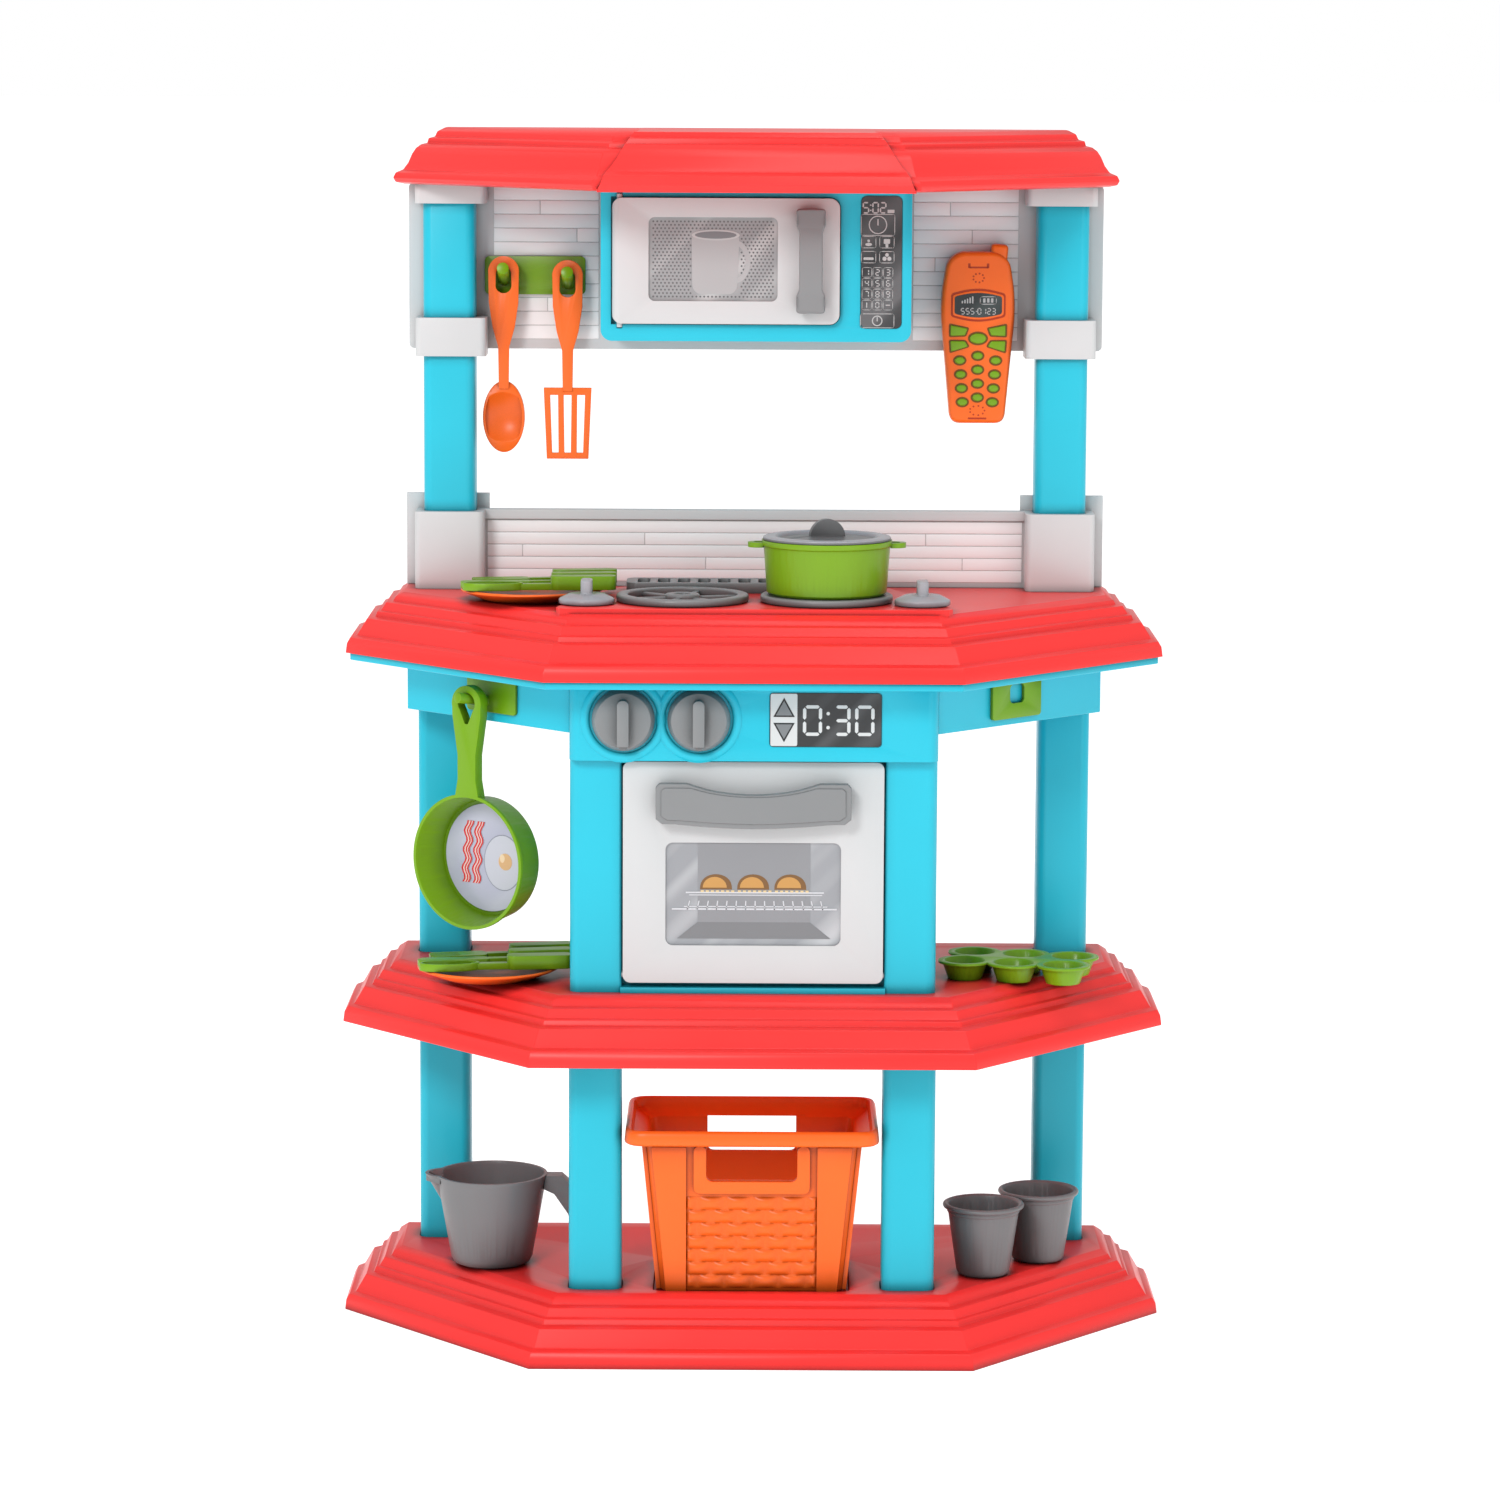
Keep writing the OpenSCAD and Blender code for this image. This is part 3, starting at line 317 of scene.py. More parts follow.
def arched(bm, half, rise, axis, cuts=14):  # bows a bar outwards, most at its middle
    way = (1, 0, 0) if axis == 0 else (0, 0, 1)
    for k in range(1, cuts):
        cutAt(bm, Vector(way) * (-half + 2 * half * k / cuts), way)
    for v in bm.verts:
        v.co.y -= rise * mm * max(0, math.cos(math.pi / 2 * min(1, abs(v.co[axis]) / (half * mm)))) ** 0.8


def roundCorners(outline, radius, steps=5):  # closed outline
    loop = [outline[-1], *outline, outline[0]]
    return [tuple(p) for p in eased(loop, radius, steps)[1:-1]]


def rect(x0, z0, x1, z1):
    return [(x0, z0), (x1, z0), (x1, z1), (x0, z1)]


def oblong(w, h, r, x=0, z=0):
    return roundCorners(rect(x - w / 2, z - h / 2, x + w / 2, z + h / 2), r)


def ellipse(w, h, x=0, z=0, sides=24):
    return [(x + w / 2 * math.cos(math.tau * k / sides), z + h / 2 * math.sin(math.tau * k / sides))
            for k in range(sides)]


def barrel(w, h, bulge, x=0, z=0, steps=10, corner=2.5):  # a rectangle with bowed top and bottom
    top = [(x - w / 2 + w * k / steps, z + h / 2 + bulge * math.sin(math.pi * k / steps))
           for k in range(steps + 1)]
    return roundCorners([*top, *[(px, 2 * z - pz) for px, pz in reversed(top)]], corner)


def grown(outline, width):
    cx = sum(x for x, z in outline) / len(outline)
    cz = sum(z for x, z in outline) / len(outline)
    across = 1 + width / max(abs(x - cx) for x, z in outline)
    along = 1 + width / max(abs(z - cz) for x, z in outline)
    return [(cx + (x - cx) * across, cz + (z - cz) * along) for x, z in outline]


def moved(outline, dx, dz):
    return [(x + dx, z + dz) for x, z in outline]


def frameOf(outline, width):  # closed band along an outline, as outlines of bars
    bars = []
    for (ax, az), (bx, bz) in zip(outline, outline[1:] + outline[:1]):
        along = Vector((bx - ax, bz - az)).normalized() * width / 2
        side = Vector((-along.y, along.x))
        a, b = Vector((ax, az)) - along * 0.6, Vector((bx, bz)) + along * 0.6
        bars.append([tuple(a - side), tuple(b - side), tuple(b + side), tuple(a + side)])
    return bars


def ringShape(cx, cz, w, h, t, start=0, end=360, sides=20):  # part of a ring, as outlines of bars
    out = []
    for k in range(sides):
        a, b = [math.radians(start + (end - start) * (k + i) / sides) for i in (0, 1)]
        out.append([(cx + (w / 2 - inset) * math.cos(at), cz + (h / 2 - inset) * math.sin(at))
                    for at, inset in ((a, 0), (b, 0), (b, t), (a, t))])
    return out


segmentsOf = {"0": "abcdef", "1": "bc", "2": "abged", "3": "abgcd", "4": "fgbc", "5": "afgcd",
              "6": "afgedc", "7": "abc", "8": "abcdefg", "9": "abcdfg"}


def digit(figure, x, z, w, h, t):  # seven-segment figure, as outlines
    places = {"a": (0, h / 2, 0), "g": (0, 0, 0), "d": (0, -h / 2, 0), "f": (-w / 2, h / 4, 1),
              "b": (w / 2, h / 4, 1), "e": (-w / 2, -h / 4, 1), "c": (w / 2, -h / 4, 1)}
    out = []
    for key in segmentsOf[figure]:
        px, pz, upright = places[key]
        reach = (h / 4 if upright else w / 2) - t * 0.25
        bar = [(-reach, 0), (-reach + t / 2, -t / 2), (reach - t / 2, -t / 2), (reach, 0),
               (reach - t / 2, t / 2), (-reach + t / 2, t / 2)]
        out.append([(x + px + (b if upright else a), z + pz + (a if upright else b)) for a, b in bar])
    return out


def printed(name, outlines, face, look, front, depth=0.15):  # face is a body and a slot
    bm = bmesh.new()
    for outline in outlines:
        join(bm, slab(outline, depth, front))
    return finishPiece(name, bm, *face, prints[look], sharp=20)


# every moulding gets soft edges, by the width of its bevel

softEdges = {
    0.8: ("base", "middle_shelf", "countertop", "roof"),
    1.2: ("lower_rear_post_left", "lower_rear_post_right", "lower_front_post_left", "lower_front_post_right",
          "middle_rear_post_left", "middle_rear_post_right", "upper_post_left", "upper_post_right",
          "oven_front", "microwave_frame"),
    0.9: ("oven_box", "counter_apron", "oven_door", "microwave_door", "backsplash", "wall_panel"),
}
roundedMore = {"pan": 1.0, "pot": 0.9, "hob_knob_left": 1.5, "hob_knob_right": 1.5}
otherEdge = 0.6
otherLook = {"cup_front": "dark_grey_plastic", "cup_back": "dark_grey_plastic", "hob_knob_left": "pale_grey",
             "hob_knob_right": "pale_grey"}
remade = ("phone_body", "phone_keypad", "phone_screen", "microwave_handle", "basket", "burner_left",
          "burner_right", "oven_handle")  # modelled afresh further down
for width, names in softEdges.items():
    for node in names:
        softened(node, width)
for node, owner in slotOf.items():
    if node not in sum(softEdges.values(), ()) + remade and owner in looks:
        softened(node, roundedMore.get(node, otherEdge), 3 if node in roundedMore else 2,
                 looks[otherLook.get(node, owner)])
print("mouldings softened")

# the middle of the roof stands a little proud of its wings

roofSet = {"proud": 4.2, "bevel": 1.1, "half": 124, "lean": 0.69, "back": 128, "clear": 0.3,
           "top": 0.95, "front": -0.01, "under": -0.6}


def roofCentre():
    bm = copyOf("roof")
    low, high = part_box("roof")
    for side in (-1, 1):
        cutAt(bm, (side * roofSet["half"], 0, low.z / mm), (side, 0, roofSet["lean"]), True)
    cutAt(bm, (0, roofSet["back"], 0), (0, 1, 0), True)
    bm.normal_update()
    inner = [f for f in bm.faces if f.normal.z <= roofSet["top"]
             and not (f.normal.y < roofSet["front"] and f.normal.z > roofSet["under"])]
    bmesh.ops.delete(bm, geom=inner, context="FACES")
    bmesh.ops.solidify(bm, geom=bm.faces[:], thickness=-roofSet["proud"] * mm)
    for v in bm.verts:
        v.co.z = min(v.co.z, high.z + roofSet["clear"] * mm)
    bmesh.ops.recalc_face_normals(bm, faces=bm.faces)
    return finishPiece("roof_centre", bm, bodyOf["roof"], "red_moulding", looks["red_moulding"],
                       bevel=roofSet["bevel"])


roofCentre()
print("roof done")

# planks pressed into the white walls

plankSet = {"row": 10.9, "gap": 0.55, "lift": 0.45, "soft": 0.4}
plankWalls = {  # left, right, low, high, front, then joints as (x, row)
    "planks_left": (-214, -128, 793, 917, 127, ((-170, 2), (-150, 4), (-190, 5), (-146, 7), (-176, 9))),
    "planks_right": (128, 214, 793, 917, 127, ((160, 1), (186, 3), (146, 5), (176, 7), (158, 9))),
    "planks_splash": (-219, 219, 596, 646, 111, ((-150, 0), (90, 0), (-40, 1), (170, 1), (-190, 2), (20, 2),
                                                 (-90, 3), (140, 3), (40, 3))),
}


def plankWall(name, x0, x1, z0, z1, front, joints):
    bm = bmesh.new()
    rows = max(1, round((z1 - z0) / plankSet["row"]))
    high = (z1 - z0) / rows
    for row in range(rows):
        cuts = [x0, *sorted(x for x, r in joints if r == row), x1]
        for a, b in zip(cuts, cuts[1:]):
            plank = softBox(b - a - plankSet["gap"], plankSet["lift"] * 2, high - plankSet["gap"],
                            plankSet["soft"], 2)
            join(bm, plank, shift((a + b) / 2, front, z0 + high * (row + 0.5)))
    # the planks take the paler white, painted light on the shaded wall
    return finishPiece(name, bm, bodyOf["wall_panel"], "white_moulding", looks["plank_white"], sharp=50)


for name, wall in plankWalls.items():
    plankWall(name, *wall)
print("planks done")

# oven: rings round the knobs, the picture behind the window, the timer

knobRingSet = {"x": (-102, -43), "z": 510, "face": -98, "soft": 1, "steps": 72,
               "profile": ((26.2, -0.5), (27, 1.4), (29.5, 2.2), (32.5, 1.2), (34.5, -0.5))}


def knobRings():
    bm = bmesh.new()
    for x in knobRingSet["x"]:
        ring = turned(knobRingSet["profile"], knobRingSet["soft"], knobRingSet["steps"])
        join(bm, ring, shift(x, knobRingSet["face"], knobRingSet["z"], 90, "X"))
    finishPiece("knob_rings", bm, "kitchen", "blue_moulding", looks["blue_moulding"], sharp=60)


ovenPictureSet = {  # u and v are fractions of the window from its upper left corner
    "window": (0, 373, 136, 80), "front": -85.75,
    "back": ((0.18, 0.82), (0.83, 0.82), (0.83, 0.01), (0.18, 0.01)),
    "floor": ((0.06, 0.985), (0.95, 0.985), (0.83, 0.82), (0.18, 0.82)),
    "muffinsU": (0.285, 0.5, 0.715), "muffinV": 0.495, "dome": (12.6, 12.2), "top": (9.5, 8.6, -1, 1.5),
    "caseV": 0.61, "case": (10.5, 12.2, 4.6),
    "glints": 7, "glintPitch": 4, "glint": (-12, 7.1, -9.6, 8.6),
    "wires": ((0.525, 0.11, 0.91, 1.2), (0.55, 0.13, 0.9, 0.8), (0.69, 0.03, 0.985, 1.3),
              (0.665, 0.1, 0.93, 0.8)),  # v, first u, last u, thickness
    "teeth": 15, "toothU": 0.12, "toothPitch": 0.056, "toothV": 0.645, "tooth": (0.45, -4, 3, 0.25),
}


def windowPoint(u, v):
    x, z, w, h = ovenPictureSet["window"]
    return (x + (u - 0.5) * w, z + (0.5 - v) * h)


def ovenPicture():
    face, front = ("oven_door", "window_print"), ovenPictureSet["front"]
    for part, look in (("back", "pictureLight"), ("floor", "pictureMid")):
        shape = [windowPoint(u, v) for u, v in ovenPictureSet[part]]
        printed("oven_print_" + part, [shape], face, look, front)
    muffins, tops, cases, glints = [], [], [], []
    domeW, domeH = ovenPictureSet["dome"]
    topW, topH, topX, topZ = ovenPictureSet["top"]
    foot, brim, halfHigh = ovenPictureSet["case"]
    x0, z0, x1, z1 = ovenPictureSet["glint"]
    for u in ovenPictureSet["muffinsU"]:
        x, z = windowPoint(u, ovenPictureSet["muffinV"])
        turns = [math.pi * k / 16 for k in range(17)]
        muffins.append([(x + domeW * math.cos(a), z + domeH * math.sin(a) ** 0.8) for a in turns])
        turns = [math.pi * k / 14 for k in range(15)]
        tops.append([(x + topX + topW * math.cos(a), z + topZ + topH * math.sin(a)) for a in turns])
        x, z = windowPoint(u, ovenPictureSet["caseV"])
        cases.append([(x - foot, z - halfHigh), (x + foot, z - halfHigh), (x + brim, z + halfHigh),
                      (x - brim, z + halfHigh)])
        glints += [moved(rect(x0, z0, x1, z1), x + k * ovenPictureSet["glintPitch"], z)
                   for k in range(ovenPictureSet["glints"])]
    printed("oven_print_muffins", muffins, face, "muffinDark", front - 0.12)
    printed("oven_print_muffin_tops", tops, face, "muffin", front - 0.22)
    printed("oven_print_cases", cases, face, "pictureLight", front - 0.12)
    wires = []
    for v, u0, u1, thick in ovenPictureSet["wires"]:
        (x0, z0), (x1, _) = windowPoint(u0, v), windowPoint(u1, v)
        wires.append(rect(x0, z0 - thick / 2, x1, z0 + thick / 2))
    half, low, high, lean = ovenPictureSet["tooth"]
    for k in range(ovenPictureSet["teeth"]):
        u = ovenPictureSet["toothU"] + k * ovenPictureSet["toothPitch"]
        x, z = windowPoint(u, ovenPictureSet["toothV"])
        out = (k - ovenPictureSet["teeth"] // 2) * lean
        wires.append([(x - half, z + low), (x + half, z + low), (x + half - out, z + high),
                      (x - half - out, z + high)])
    printed("oven_print_rack", wires, face, "wire", front - 0.2)
    printed("oven_print_glints", glints, face, "cream", front - 0.3)


timerSet = {
    "place": (56, 510, 87, 42), "front": -98.62, "margin": 0.4, "white": 0.245, "corner": 1.6, "arrow": 0.126,
    "rim": (8.4, 2.3, 17.6), "core": (6.4, 3.5, 15),
    "figures": (("0", 33.2, 12.4), ("3", 56.3, 10.6), ("0", 74, 12.6)), "tall": 21.5, "stroke": 2.6,
    "drop": 0.4, "colon": (45.4, 5.5, 2.8),
}


def timerFace():
    x, z, w, h = timerSet["place"]
    face, front, margin = ("kitchen", "timer_print"), timerSet["front"], timerSet["margin"]
    left, middle = x - w / 2, z - timerSet["drop"]
    patch = rect(left + margin, z - h / 2 + margin, left + w * timerSet["white"], z + h / 2 - margin)
    printed("timer_white", [roundCorners(patch, timerSet["corner"])], face, "white", front)
    arrow = left + w * timerSet["arrow"]

    def arrows(half, foot, tip):
        return [[(arrow - half, z + s * foot), (arrow + half, z + s * foot), (arrow, z + s * tip)]
                for s in (1, -1)]

    printed("timer_arrow_rims", arrows(*timerSet["rim"]), face, "ink", front - 0.1)
    printed("timer_arrows", arrows(*timerSet["core"]), face, "pictureMid", front - 0.2)
    bars = []
    for figure, at, wide in timerSet["figures"]:
        bars += digit(figure, left + at, middle, wide, timerSet["tall"], timerSet["stroke"])
    at, apart, size = timerSet["colon"]
    bars += [ellipse(size, size, left + at, middle + s * apart, 12) for s in (1, -1)]
    printed("timer_digits", bars, face, "white", front)


# microwave: a mug behind the dotted window, the keypad, an arched handle

mugSet = {"place": (-32, 861), "front": -3.7, "handle": (-17, 862, 25, 34, 4, -100, 100), "corner": 4,
          "side": ((-19, 22), (-18.4, -20), (-14, -24.5), (13, -24.5), (17.2, -20), (18.6, 22)),
          "brim": 883, "rim": (38, 8.5), "inside": (33, 5.8)}


def microwavePicture():
    face, front = ("microwave_door", "window_print"), mugSet["front"]
    x, z = mugSet["place"]
    mug = roundCorners(moved(mugSet["side"], x, z), mugSet["corner"])
    printed("mug_handle", ringShape(*mugSet["handle"]), face, "mug", front)
    printed("mug_body", [mug], face, "mug", front - 0.05)
    printed("mug_rim", [ellipse(*mugSet["rim"], x, mugSet["brim"])], face, "mugLight", front - 0.15)
    printed("mug_inside", [ellipse(*mugSet["inside"], x, mugSet["brim"])], face, "pictureMid", front - 0.25)


keypadSet = {
    "place": (96, 860.5), "front": -0.62, "clock": (("5", -9.6), ("0", -2.0), ("2", 4.0)), "clockZ": 44.4,
    "clockFigure": (4.2, 8, 1.1), "boxCorner": 1.6, "dialLine": 0.8, "dials": ((31, 14.6), (-44.6, 8.4)),
    "boxes": ((26.5, 16.5, 0, 31), (11.4, 9, -7.2, 17.4), (11.4, 9, -7.2, 5.6), (11.4, 9, 7.2, 17.4),
              (11.4, 9, 7.2, 5.6), (26.5, 11, 0, -44.6)),  # width, height, x, z
    "boxLine": 0.5, "keyLine": 0.4, "key": (7.4, 7.6), "keyPitch": (8.4, 8.6), "keyTop": -6.4,
    "rows": ("123", "456", "789", " 0 "), "figure": (2.6, 4.4, 0.75),
    "dots": ((1.2, 1.2, -5.8, 46.4, 8), (1.2, 1.2, -5.8, 42.4, 8), (5.4, 2.6, -7.2, 15.6, 12),
             (2.2, 2.2, -7.2, 18.4, 10), (3.4, 3.4, 5.4, 4.4, 10), (3.4, 3.4, 9.2, 4.4, 10),
             (3, 3, 7.3, 7.4, 10)),  # width, height, x, z, sides
    "bars": ((5.4, 2.6, 0.5, 10.2, 41.6), (0.9, 5, 0.2, 0, 33), (5, 3.8, 0.8, 7.2, 18),
             (2.2, 3, 0.4, 7.2, 14.8), (8, 2, 0.8, -7.2, 4.4), (0.8, 4, 0.2, -8.4, -32.2),
             (3.6, 0.8, 0.2, 8.4, -32.2), (0.8, 3.4, 0.2, 0, -43.4)),  # width, height, corner, x, z
}


def keypadFace():
    shapes = []
    for figure, at in keypadSet["clock"]:
        shapes += digit(figure, at, keypadSet["clockZ"], *keypadSet["clockFigure"])
    for w, h, x, z in keypadSet["boxes"]:
        shapes += frameOf(oblong(w, h, keypadSet["boxCorner"], x, z), keypadSet["boxLine"])
    for z, size in keypadSet["dials"]:
        shapes += ringShape(0, z, size, size, keypadSet["dialLine"])
    shapes += [ellipse(*dot) for dot in keypadSet["dots"]]
    shapes += [oblong(*bar) for bar in keypadSet["bars"]]
    across, down = keypadSet["keyPitch"]
    for row, figures in enumerate(keypadSet["rows"]):
        for column, figure in enumerate(figures):
            x, z = (column - 1) * across, keypadSet["keyTop"] - row * down
            shapes += frameOf(oblong(*keypadSet["key"], keypadSet["boxCorner"], x, z), keypadSet["keyLine"])
            if figure in segmentsOf:
                shapes += digit(figure, x, z, *keypadSet["figure"])
    shapes = [moved(shape, *keypadSet["place"]) for shape in shapes]
    printed("keypad_marks", shapes, ("kitchen", "keypad_print"), "silver", keypadSet["front"])


microwaveSet = {"dot": 1.7, "pitch": 3.1, "rise": 0.866, "window": (-34, 864, 102, 66), "front": -3.55,
                "mug": (-32, 861, 19, 26)}  # the dots leave this half width and height free


def microwaveScreen():
    x, z, w, h = microwaveSet["window"]
    mx, mz, mw, mh = microwaveSet["mug"]
    pitch, size = microwaveSet["pitch"], microwaveSet["dot"]
    rise = pitch * microwaveSet["rise"]
    rows, columns = int(h / rise) - 1, int(w / pitch) - 1
    dots = []
    for row in range(rows):
        dz = (row - (rows - 1) / 2) * rise
        for k in range(columns):
            dx = (k - (columns - 1) / 2) * pitch + (row % 2 - 0.5) * pitch / 2
            if abs(x + dx - mx) >= mw or abs(z + dz - mz) >= mh:
                dots.append(ellipse(size, size, x + dx, z + dz, 6))
    printed("microwave_screen", dots, (bodyOf["microwave_door"], "window_print"), "screenDot",
            microwaveSet["front"], 0.1)


microwaveHandleSet = {
    "outline": ((-11.4, -41), (11.4, -41), (11.4, -27), (9.2, -23), (9.2, 23), (11.4, 27), (11.4, 41),
                (-11.4, 41), (-11.4, 27), (-9.2, 23), (-9.2, -23), (-11.4, -27)),
    "corner": 3, "thick": 6.5, "half": 30, "rise": 3.6,
    "foot": (20, 13, 2), "footGap": 7, "footIn": 3, "footZ": 33,
}


def microwaveHandle():
    low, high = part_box("microwave_handle")
    handle, node = microwaveHandleSet, "microwave_handle"
    cx, cz = (low.x + high.x) / 2 / mm, (low.z + high.z) / 2 / mm
    near, far = low.y / mm, high.y / mm
    bar = slab(roundCorners(handle["outline"], handle["corner"]), handle["thick"])
    arched(bar, handle["half"], handle["rise"], 2)
    bm = bmesh.new()
    join(bm, bar, shift(cx, near + handle["rise"], cz))
    wide, tall, soft = handle["foot"]
    for s in (-1, 1):
        foot = softBox(wide, far - near - handle["footGap"], tall, soft)
        join(bm, foot, shift(cx, (near + far) / 2 + handle["footIn"], cz + s * handle["footZ"]))
    finishPiece("microwave_handle_bar", bm, bodyOf[node], slotOf[node], looks[slotOf[node]], hides=(node,),
                bevel=1.6, segments=3, angle=55)


# basket: woven panels, smooth bands and a framed slot on its leaning walls

basketSet = {
    "foot": (73, 49), "top": (86, 59), "high": 133, "middle": -32, "floor": 48,
    "rings": ((71.5, 47.5, 8, 0), (73, 49, 9.5, 1.5), (85, 58, 12, 120.5), (87, 60, 13, 121.2),
              (99, 69, 16, 121.9), (100.7, 70.7, 17, 123), (101, 71, 17, 124), (100.3, 70.3, 17, 131),
              (99, 69, 16, 133.4), (97.4, 67.4, 15, 134), (95.8, 65.8, 14, 133.2), (95, 65, 13, 131),
              (94, 64, 12, 126.5), (85.5, 58.5, 11, 121.5), (83, 56, 10, 119), (71, 47, 8, 4),
              (69.5, 45.5, 7, 2.4)),  # half width, half depth, corner, height
    "slotHalf": 36, "slotLow": 92, "slotTop": 120, "slotWall": 40,
    "weaveHalf": (52, 34), "weaveRows": (7, 10), "weaveLow": 3, "pitch": 10.8, "bump": 3.0, "wide": 21.6,
    "cells": (1.8, 10), "swell": (1.1, 0.55), "fade": 2.5,
    "bandIn": (5, 6.5), "bandHigh": 120, "band": (3.4, -2.6, 1.1), "hoop": (4.2, -3.4, 1.2),
    "hoopShape": ((-36.2, 121), (-36.2, 91.8), (36.2, 91.8), (36.2, 121), (46, 121), (46, 82), (-46, 82),
                  (-46, 121)), "hoopCorner": 6,
}


def woven(half, rows):
    pitch = basketSet["pitch"]
    high = rows * pitch
    bm = bmesh.new()
    upright = shift(0, 0, high / 2, 90, "X") @ Matrix.Diagonal((2 * half * mm, high * mm, 1, 1))
    across, perRow = basketSet["cells"]
    bmesh.ops.create_grid(bm, x_segments=int(half * across), y_segments=rows * perRow, size=0.5,
                          matrix=upright)
    sideways, upwards = basketSet["swell"]
    for v in bm.verts:
        x, z = v.co.x / mm, v.co.z / mm
        row = min(rows - 1, int(z / pitch))
        along = (x / basketSet["wide"] + 0.5 * (row % 2)) % 1
        up = z / pitch - row
        swell = max(0, math.sin(math.pi * along)) ** sideways * max(0, math.sin(math.pi * up)) ** upwards
        edge = min(1, (half - abs(x)) / basketSet["fade"])
        v.co.y -= basketSet["bump"] * swell * max(0, edge) * mm
    bmesh.ops.recalc_face_normals(bm, faces=bm.faces)
    if sum(f.normal.y for f in bm.faces) > 0:
        bmesh.ops.reverse_faces(bm, faces=bm.faces)
    return bm


def boxRing(bm, halfX, halfY, radius, z):  # rounded rectangle, closed, at a height
    verts = [bm.verts.new((x * mm, y * mm, z * mm)) for x, y in oblong(2 * halfX, 2 * halfY, radius)]
    return [bm.edges.new(pair) for pair in zip(verts, verts[1:] + verts[:1])]


def basketShell():
    slotHalf, slotLow, slotTop = basketSet["slotHalf"], basketSet["slotLow"], basketSet["slotTop"]
    bm = bmesh.new()
    loops = [boxRing(bm, *ring) for ring in basketSet["rings"]]
    for below, above in zip(loops, loops[1:]):
        bmesh.ops.bridge_loops(bm, edges=below + above)
    for rim in (loops[0], loops[-1]):
        bmesh.ops.contextual_create(bm, geom=rim)
    bmesh.ops.recalc_face_normals(bm, faces=bm.faces)
    for spot, way in (((slotHalf, 0, 0), (1, 0, 0)), ((-slotHalf, 0, 0), (1, 0, 0)),
                      ((0, 0, slotLow), (0, 0, 1)), ((0, 0, slotTop), (0, 0, 1))):
        cutAt(bm, spot, way)

    def inSlot(face):
        c = face.calc_center_median() / mm
        return abs(c.x) < slotHalf and slotLow < c.z < slotTop and abs(c.y) > basketSet["slotWall"]

    bmesh.ops.delete(bm, geom=[f for f in bm.faces if inSlot(f)], context="FACES")
    for side in (-1, 1):
        rim = [e for e in bm.edges if e.is_boundary and e.verts[0].co.y * side > 0]
        bmesh.ops.bridge_loops(bm, edges=rim)
    bmesh.ops.recalc_face_normals(bm, faces=bm.faces)
    bmesh.ops.transform(bm, matrix=shift(0, basketSet["middle"], basketSet["floor"]), verts=bm.verts)
    finishPiece("basket_shell", bm, bodyOf["basket"], "orange_plastic", looks["orange_plastic"],
                hides=("basket",), sharp=42)


def onWall(side, lift=0):  # places something drawn upright on one of the four leaning walls
    foot, top = [basketSet[end][1 - side % 2] for end in ("foot", "top")]
    lean = math.degrees(math.atan2(top - foot, basketSet["high"]))
    turn = Matrix.Rotation(math.radians(90 * side), 4, "Z")
    return shift(0, basketSet["middle"], basketSet["floor"]) @ turn @ shift(0, -foot - lift, 0, lean, "X")


def softSlab(outline, thick, front, soft):
    bm = slab(outline, thick, front)
    roundEdges(bm, bm.edges[:], soft)
    return bm


def basketDress():
    basketShell()
    weave, bands = bmesh.new(), bmesh.new()
    for side in range(4):
        wanted = ("weaveHalf", "foot", "top", "weaveRows")
        half, foot, top, rows = [basketSet[key][side % 2] for key in wanted]
        join(weave, woven(half, rows), onWall(side, 0.05) @ shift(0, 0, basketSet["weaveLow"]))
        footIn, topIn = basketSet["bandIn"]
        for s in (-1, 1):
            shape = [(s * half, 0.5), (s * (foot - footIn), 0.5), (s * (top - topIn), basketSet["bandHigh"]),
                     (s * half, basketSet["bandHigh"])]
            join(bands, softSlab(roundCorners(shape, 1), *basketSet["band"]), onWall(side))
        if side % 2 == 0:
            shape = roundCorners(basketSet["hoopShape"], basketSet["hoopCorner"])
            join(bands, softSlab(shape, *basketSet["hoop"]), onWall(side))
    finishPiece("basket_weave", weave, bodyOf["basket"], "orange_plastic", looks["orange_plastic"], sharp=80)
    finishPiece("basket_bands", bands, bodyOf["basket"], "orange_plastic", looks["orange_plastic"], sharp=50)


# telephone: case with its stub, raised keys, screen

phoneSet = {
    "face": 11, "deep": 22, "soft": 4.0, "y": 112, "keypadDrop": 27, "caseCorner": 8, "stub": (14, 17, 22, 3),
    "case": ((-22, -69.5), (22, -69.5), (30, 18), (29.4, 38), (25.5, 62), (16, 69.5), (-16, 69.5),
             (-25.5, 62), (-29.4, 38), (-30, 18)), "stubPlace": (16.5, 0, 64.5, 5, "Y"),
    "cornerKeys": (((-22.4, 10.4), (-8.4, 7.6), (-10.6, 2), (-22.4, 1.6)),
                   ((-22.4, -2.4), (-10.6, -2.6), (-8, -7), (-21.8, -11.2))), "cornerSoft": 1.4,
    "middleKey": (13.6, 8.4, 0, -0.4), "key": (8.2, 5.8), "keyRows": 4, "keyTop": -18.3, "keyPitch": 11.3,
    "keyOut": 14.6, "keyDraw": 0.8, "keyRise": 3.8, "keyRim": 1.3, "screenZ": 26.5,
    "rim": (44, 18.5, 4), "bead": (41.6, 16.2, 3.6), "glass": (38.4, 14, 3),
    "lines": ((15, 1.3, 0.3, 0, 57), (1.8, 3.6, 0.3, -7.6, 58.4), (1.8, 3.6, 0.3, 7.6, 58.4),
              (15, 1.4, 0.3, 0, -65.4)), "holes": ((4.4, 3.6, 48.5), (6, 3.8, -59)), "hole": 1.5,
}


def phonePlace():
    low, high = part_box("phone_keypad")
    return shift((low.x + high.x) / 2 / mm, phoneSet["y"], (low.z + high.z) / 2 / mm + phoneSet["keypadDrop"])


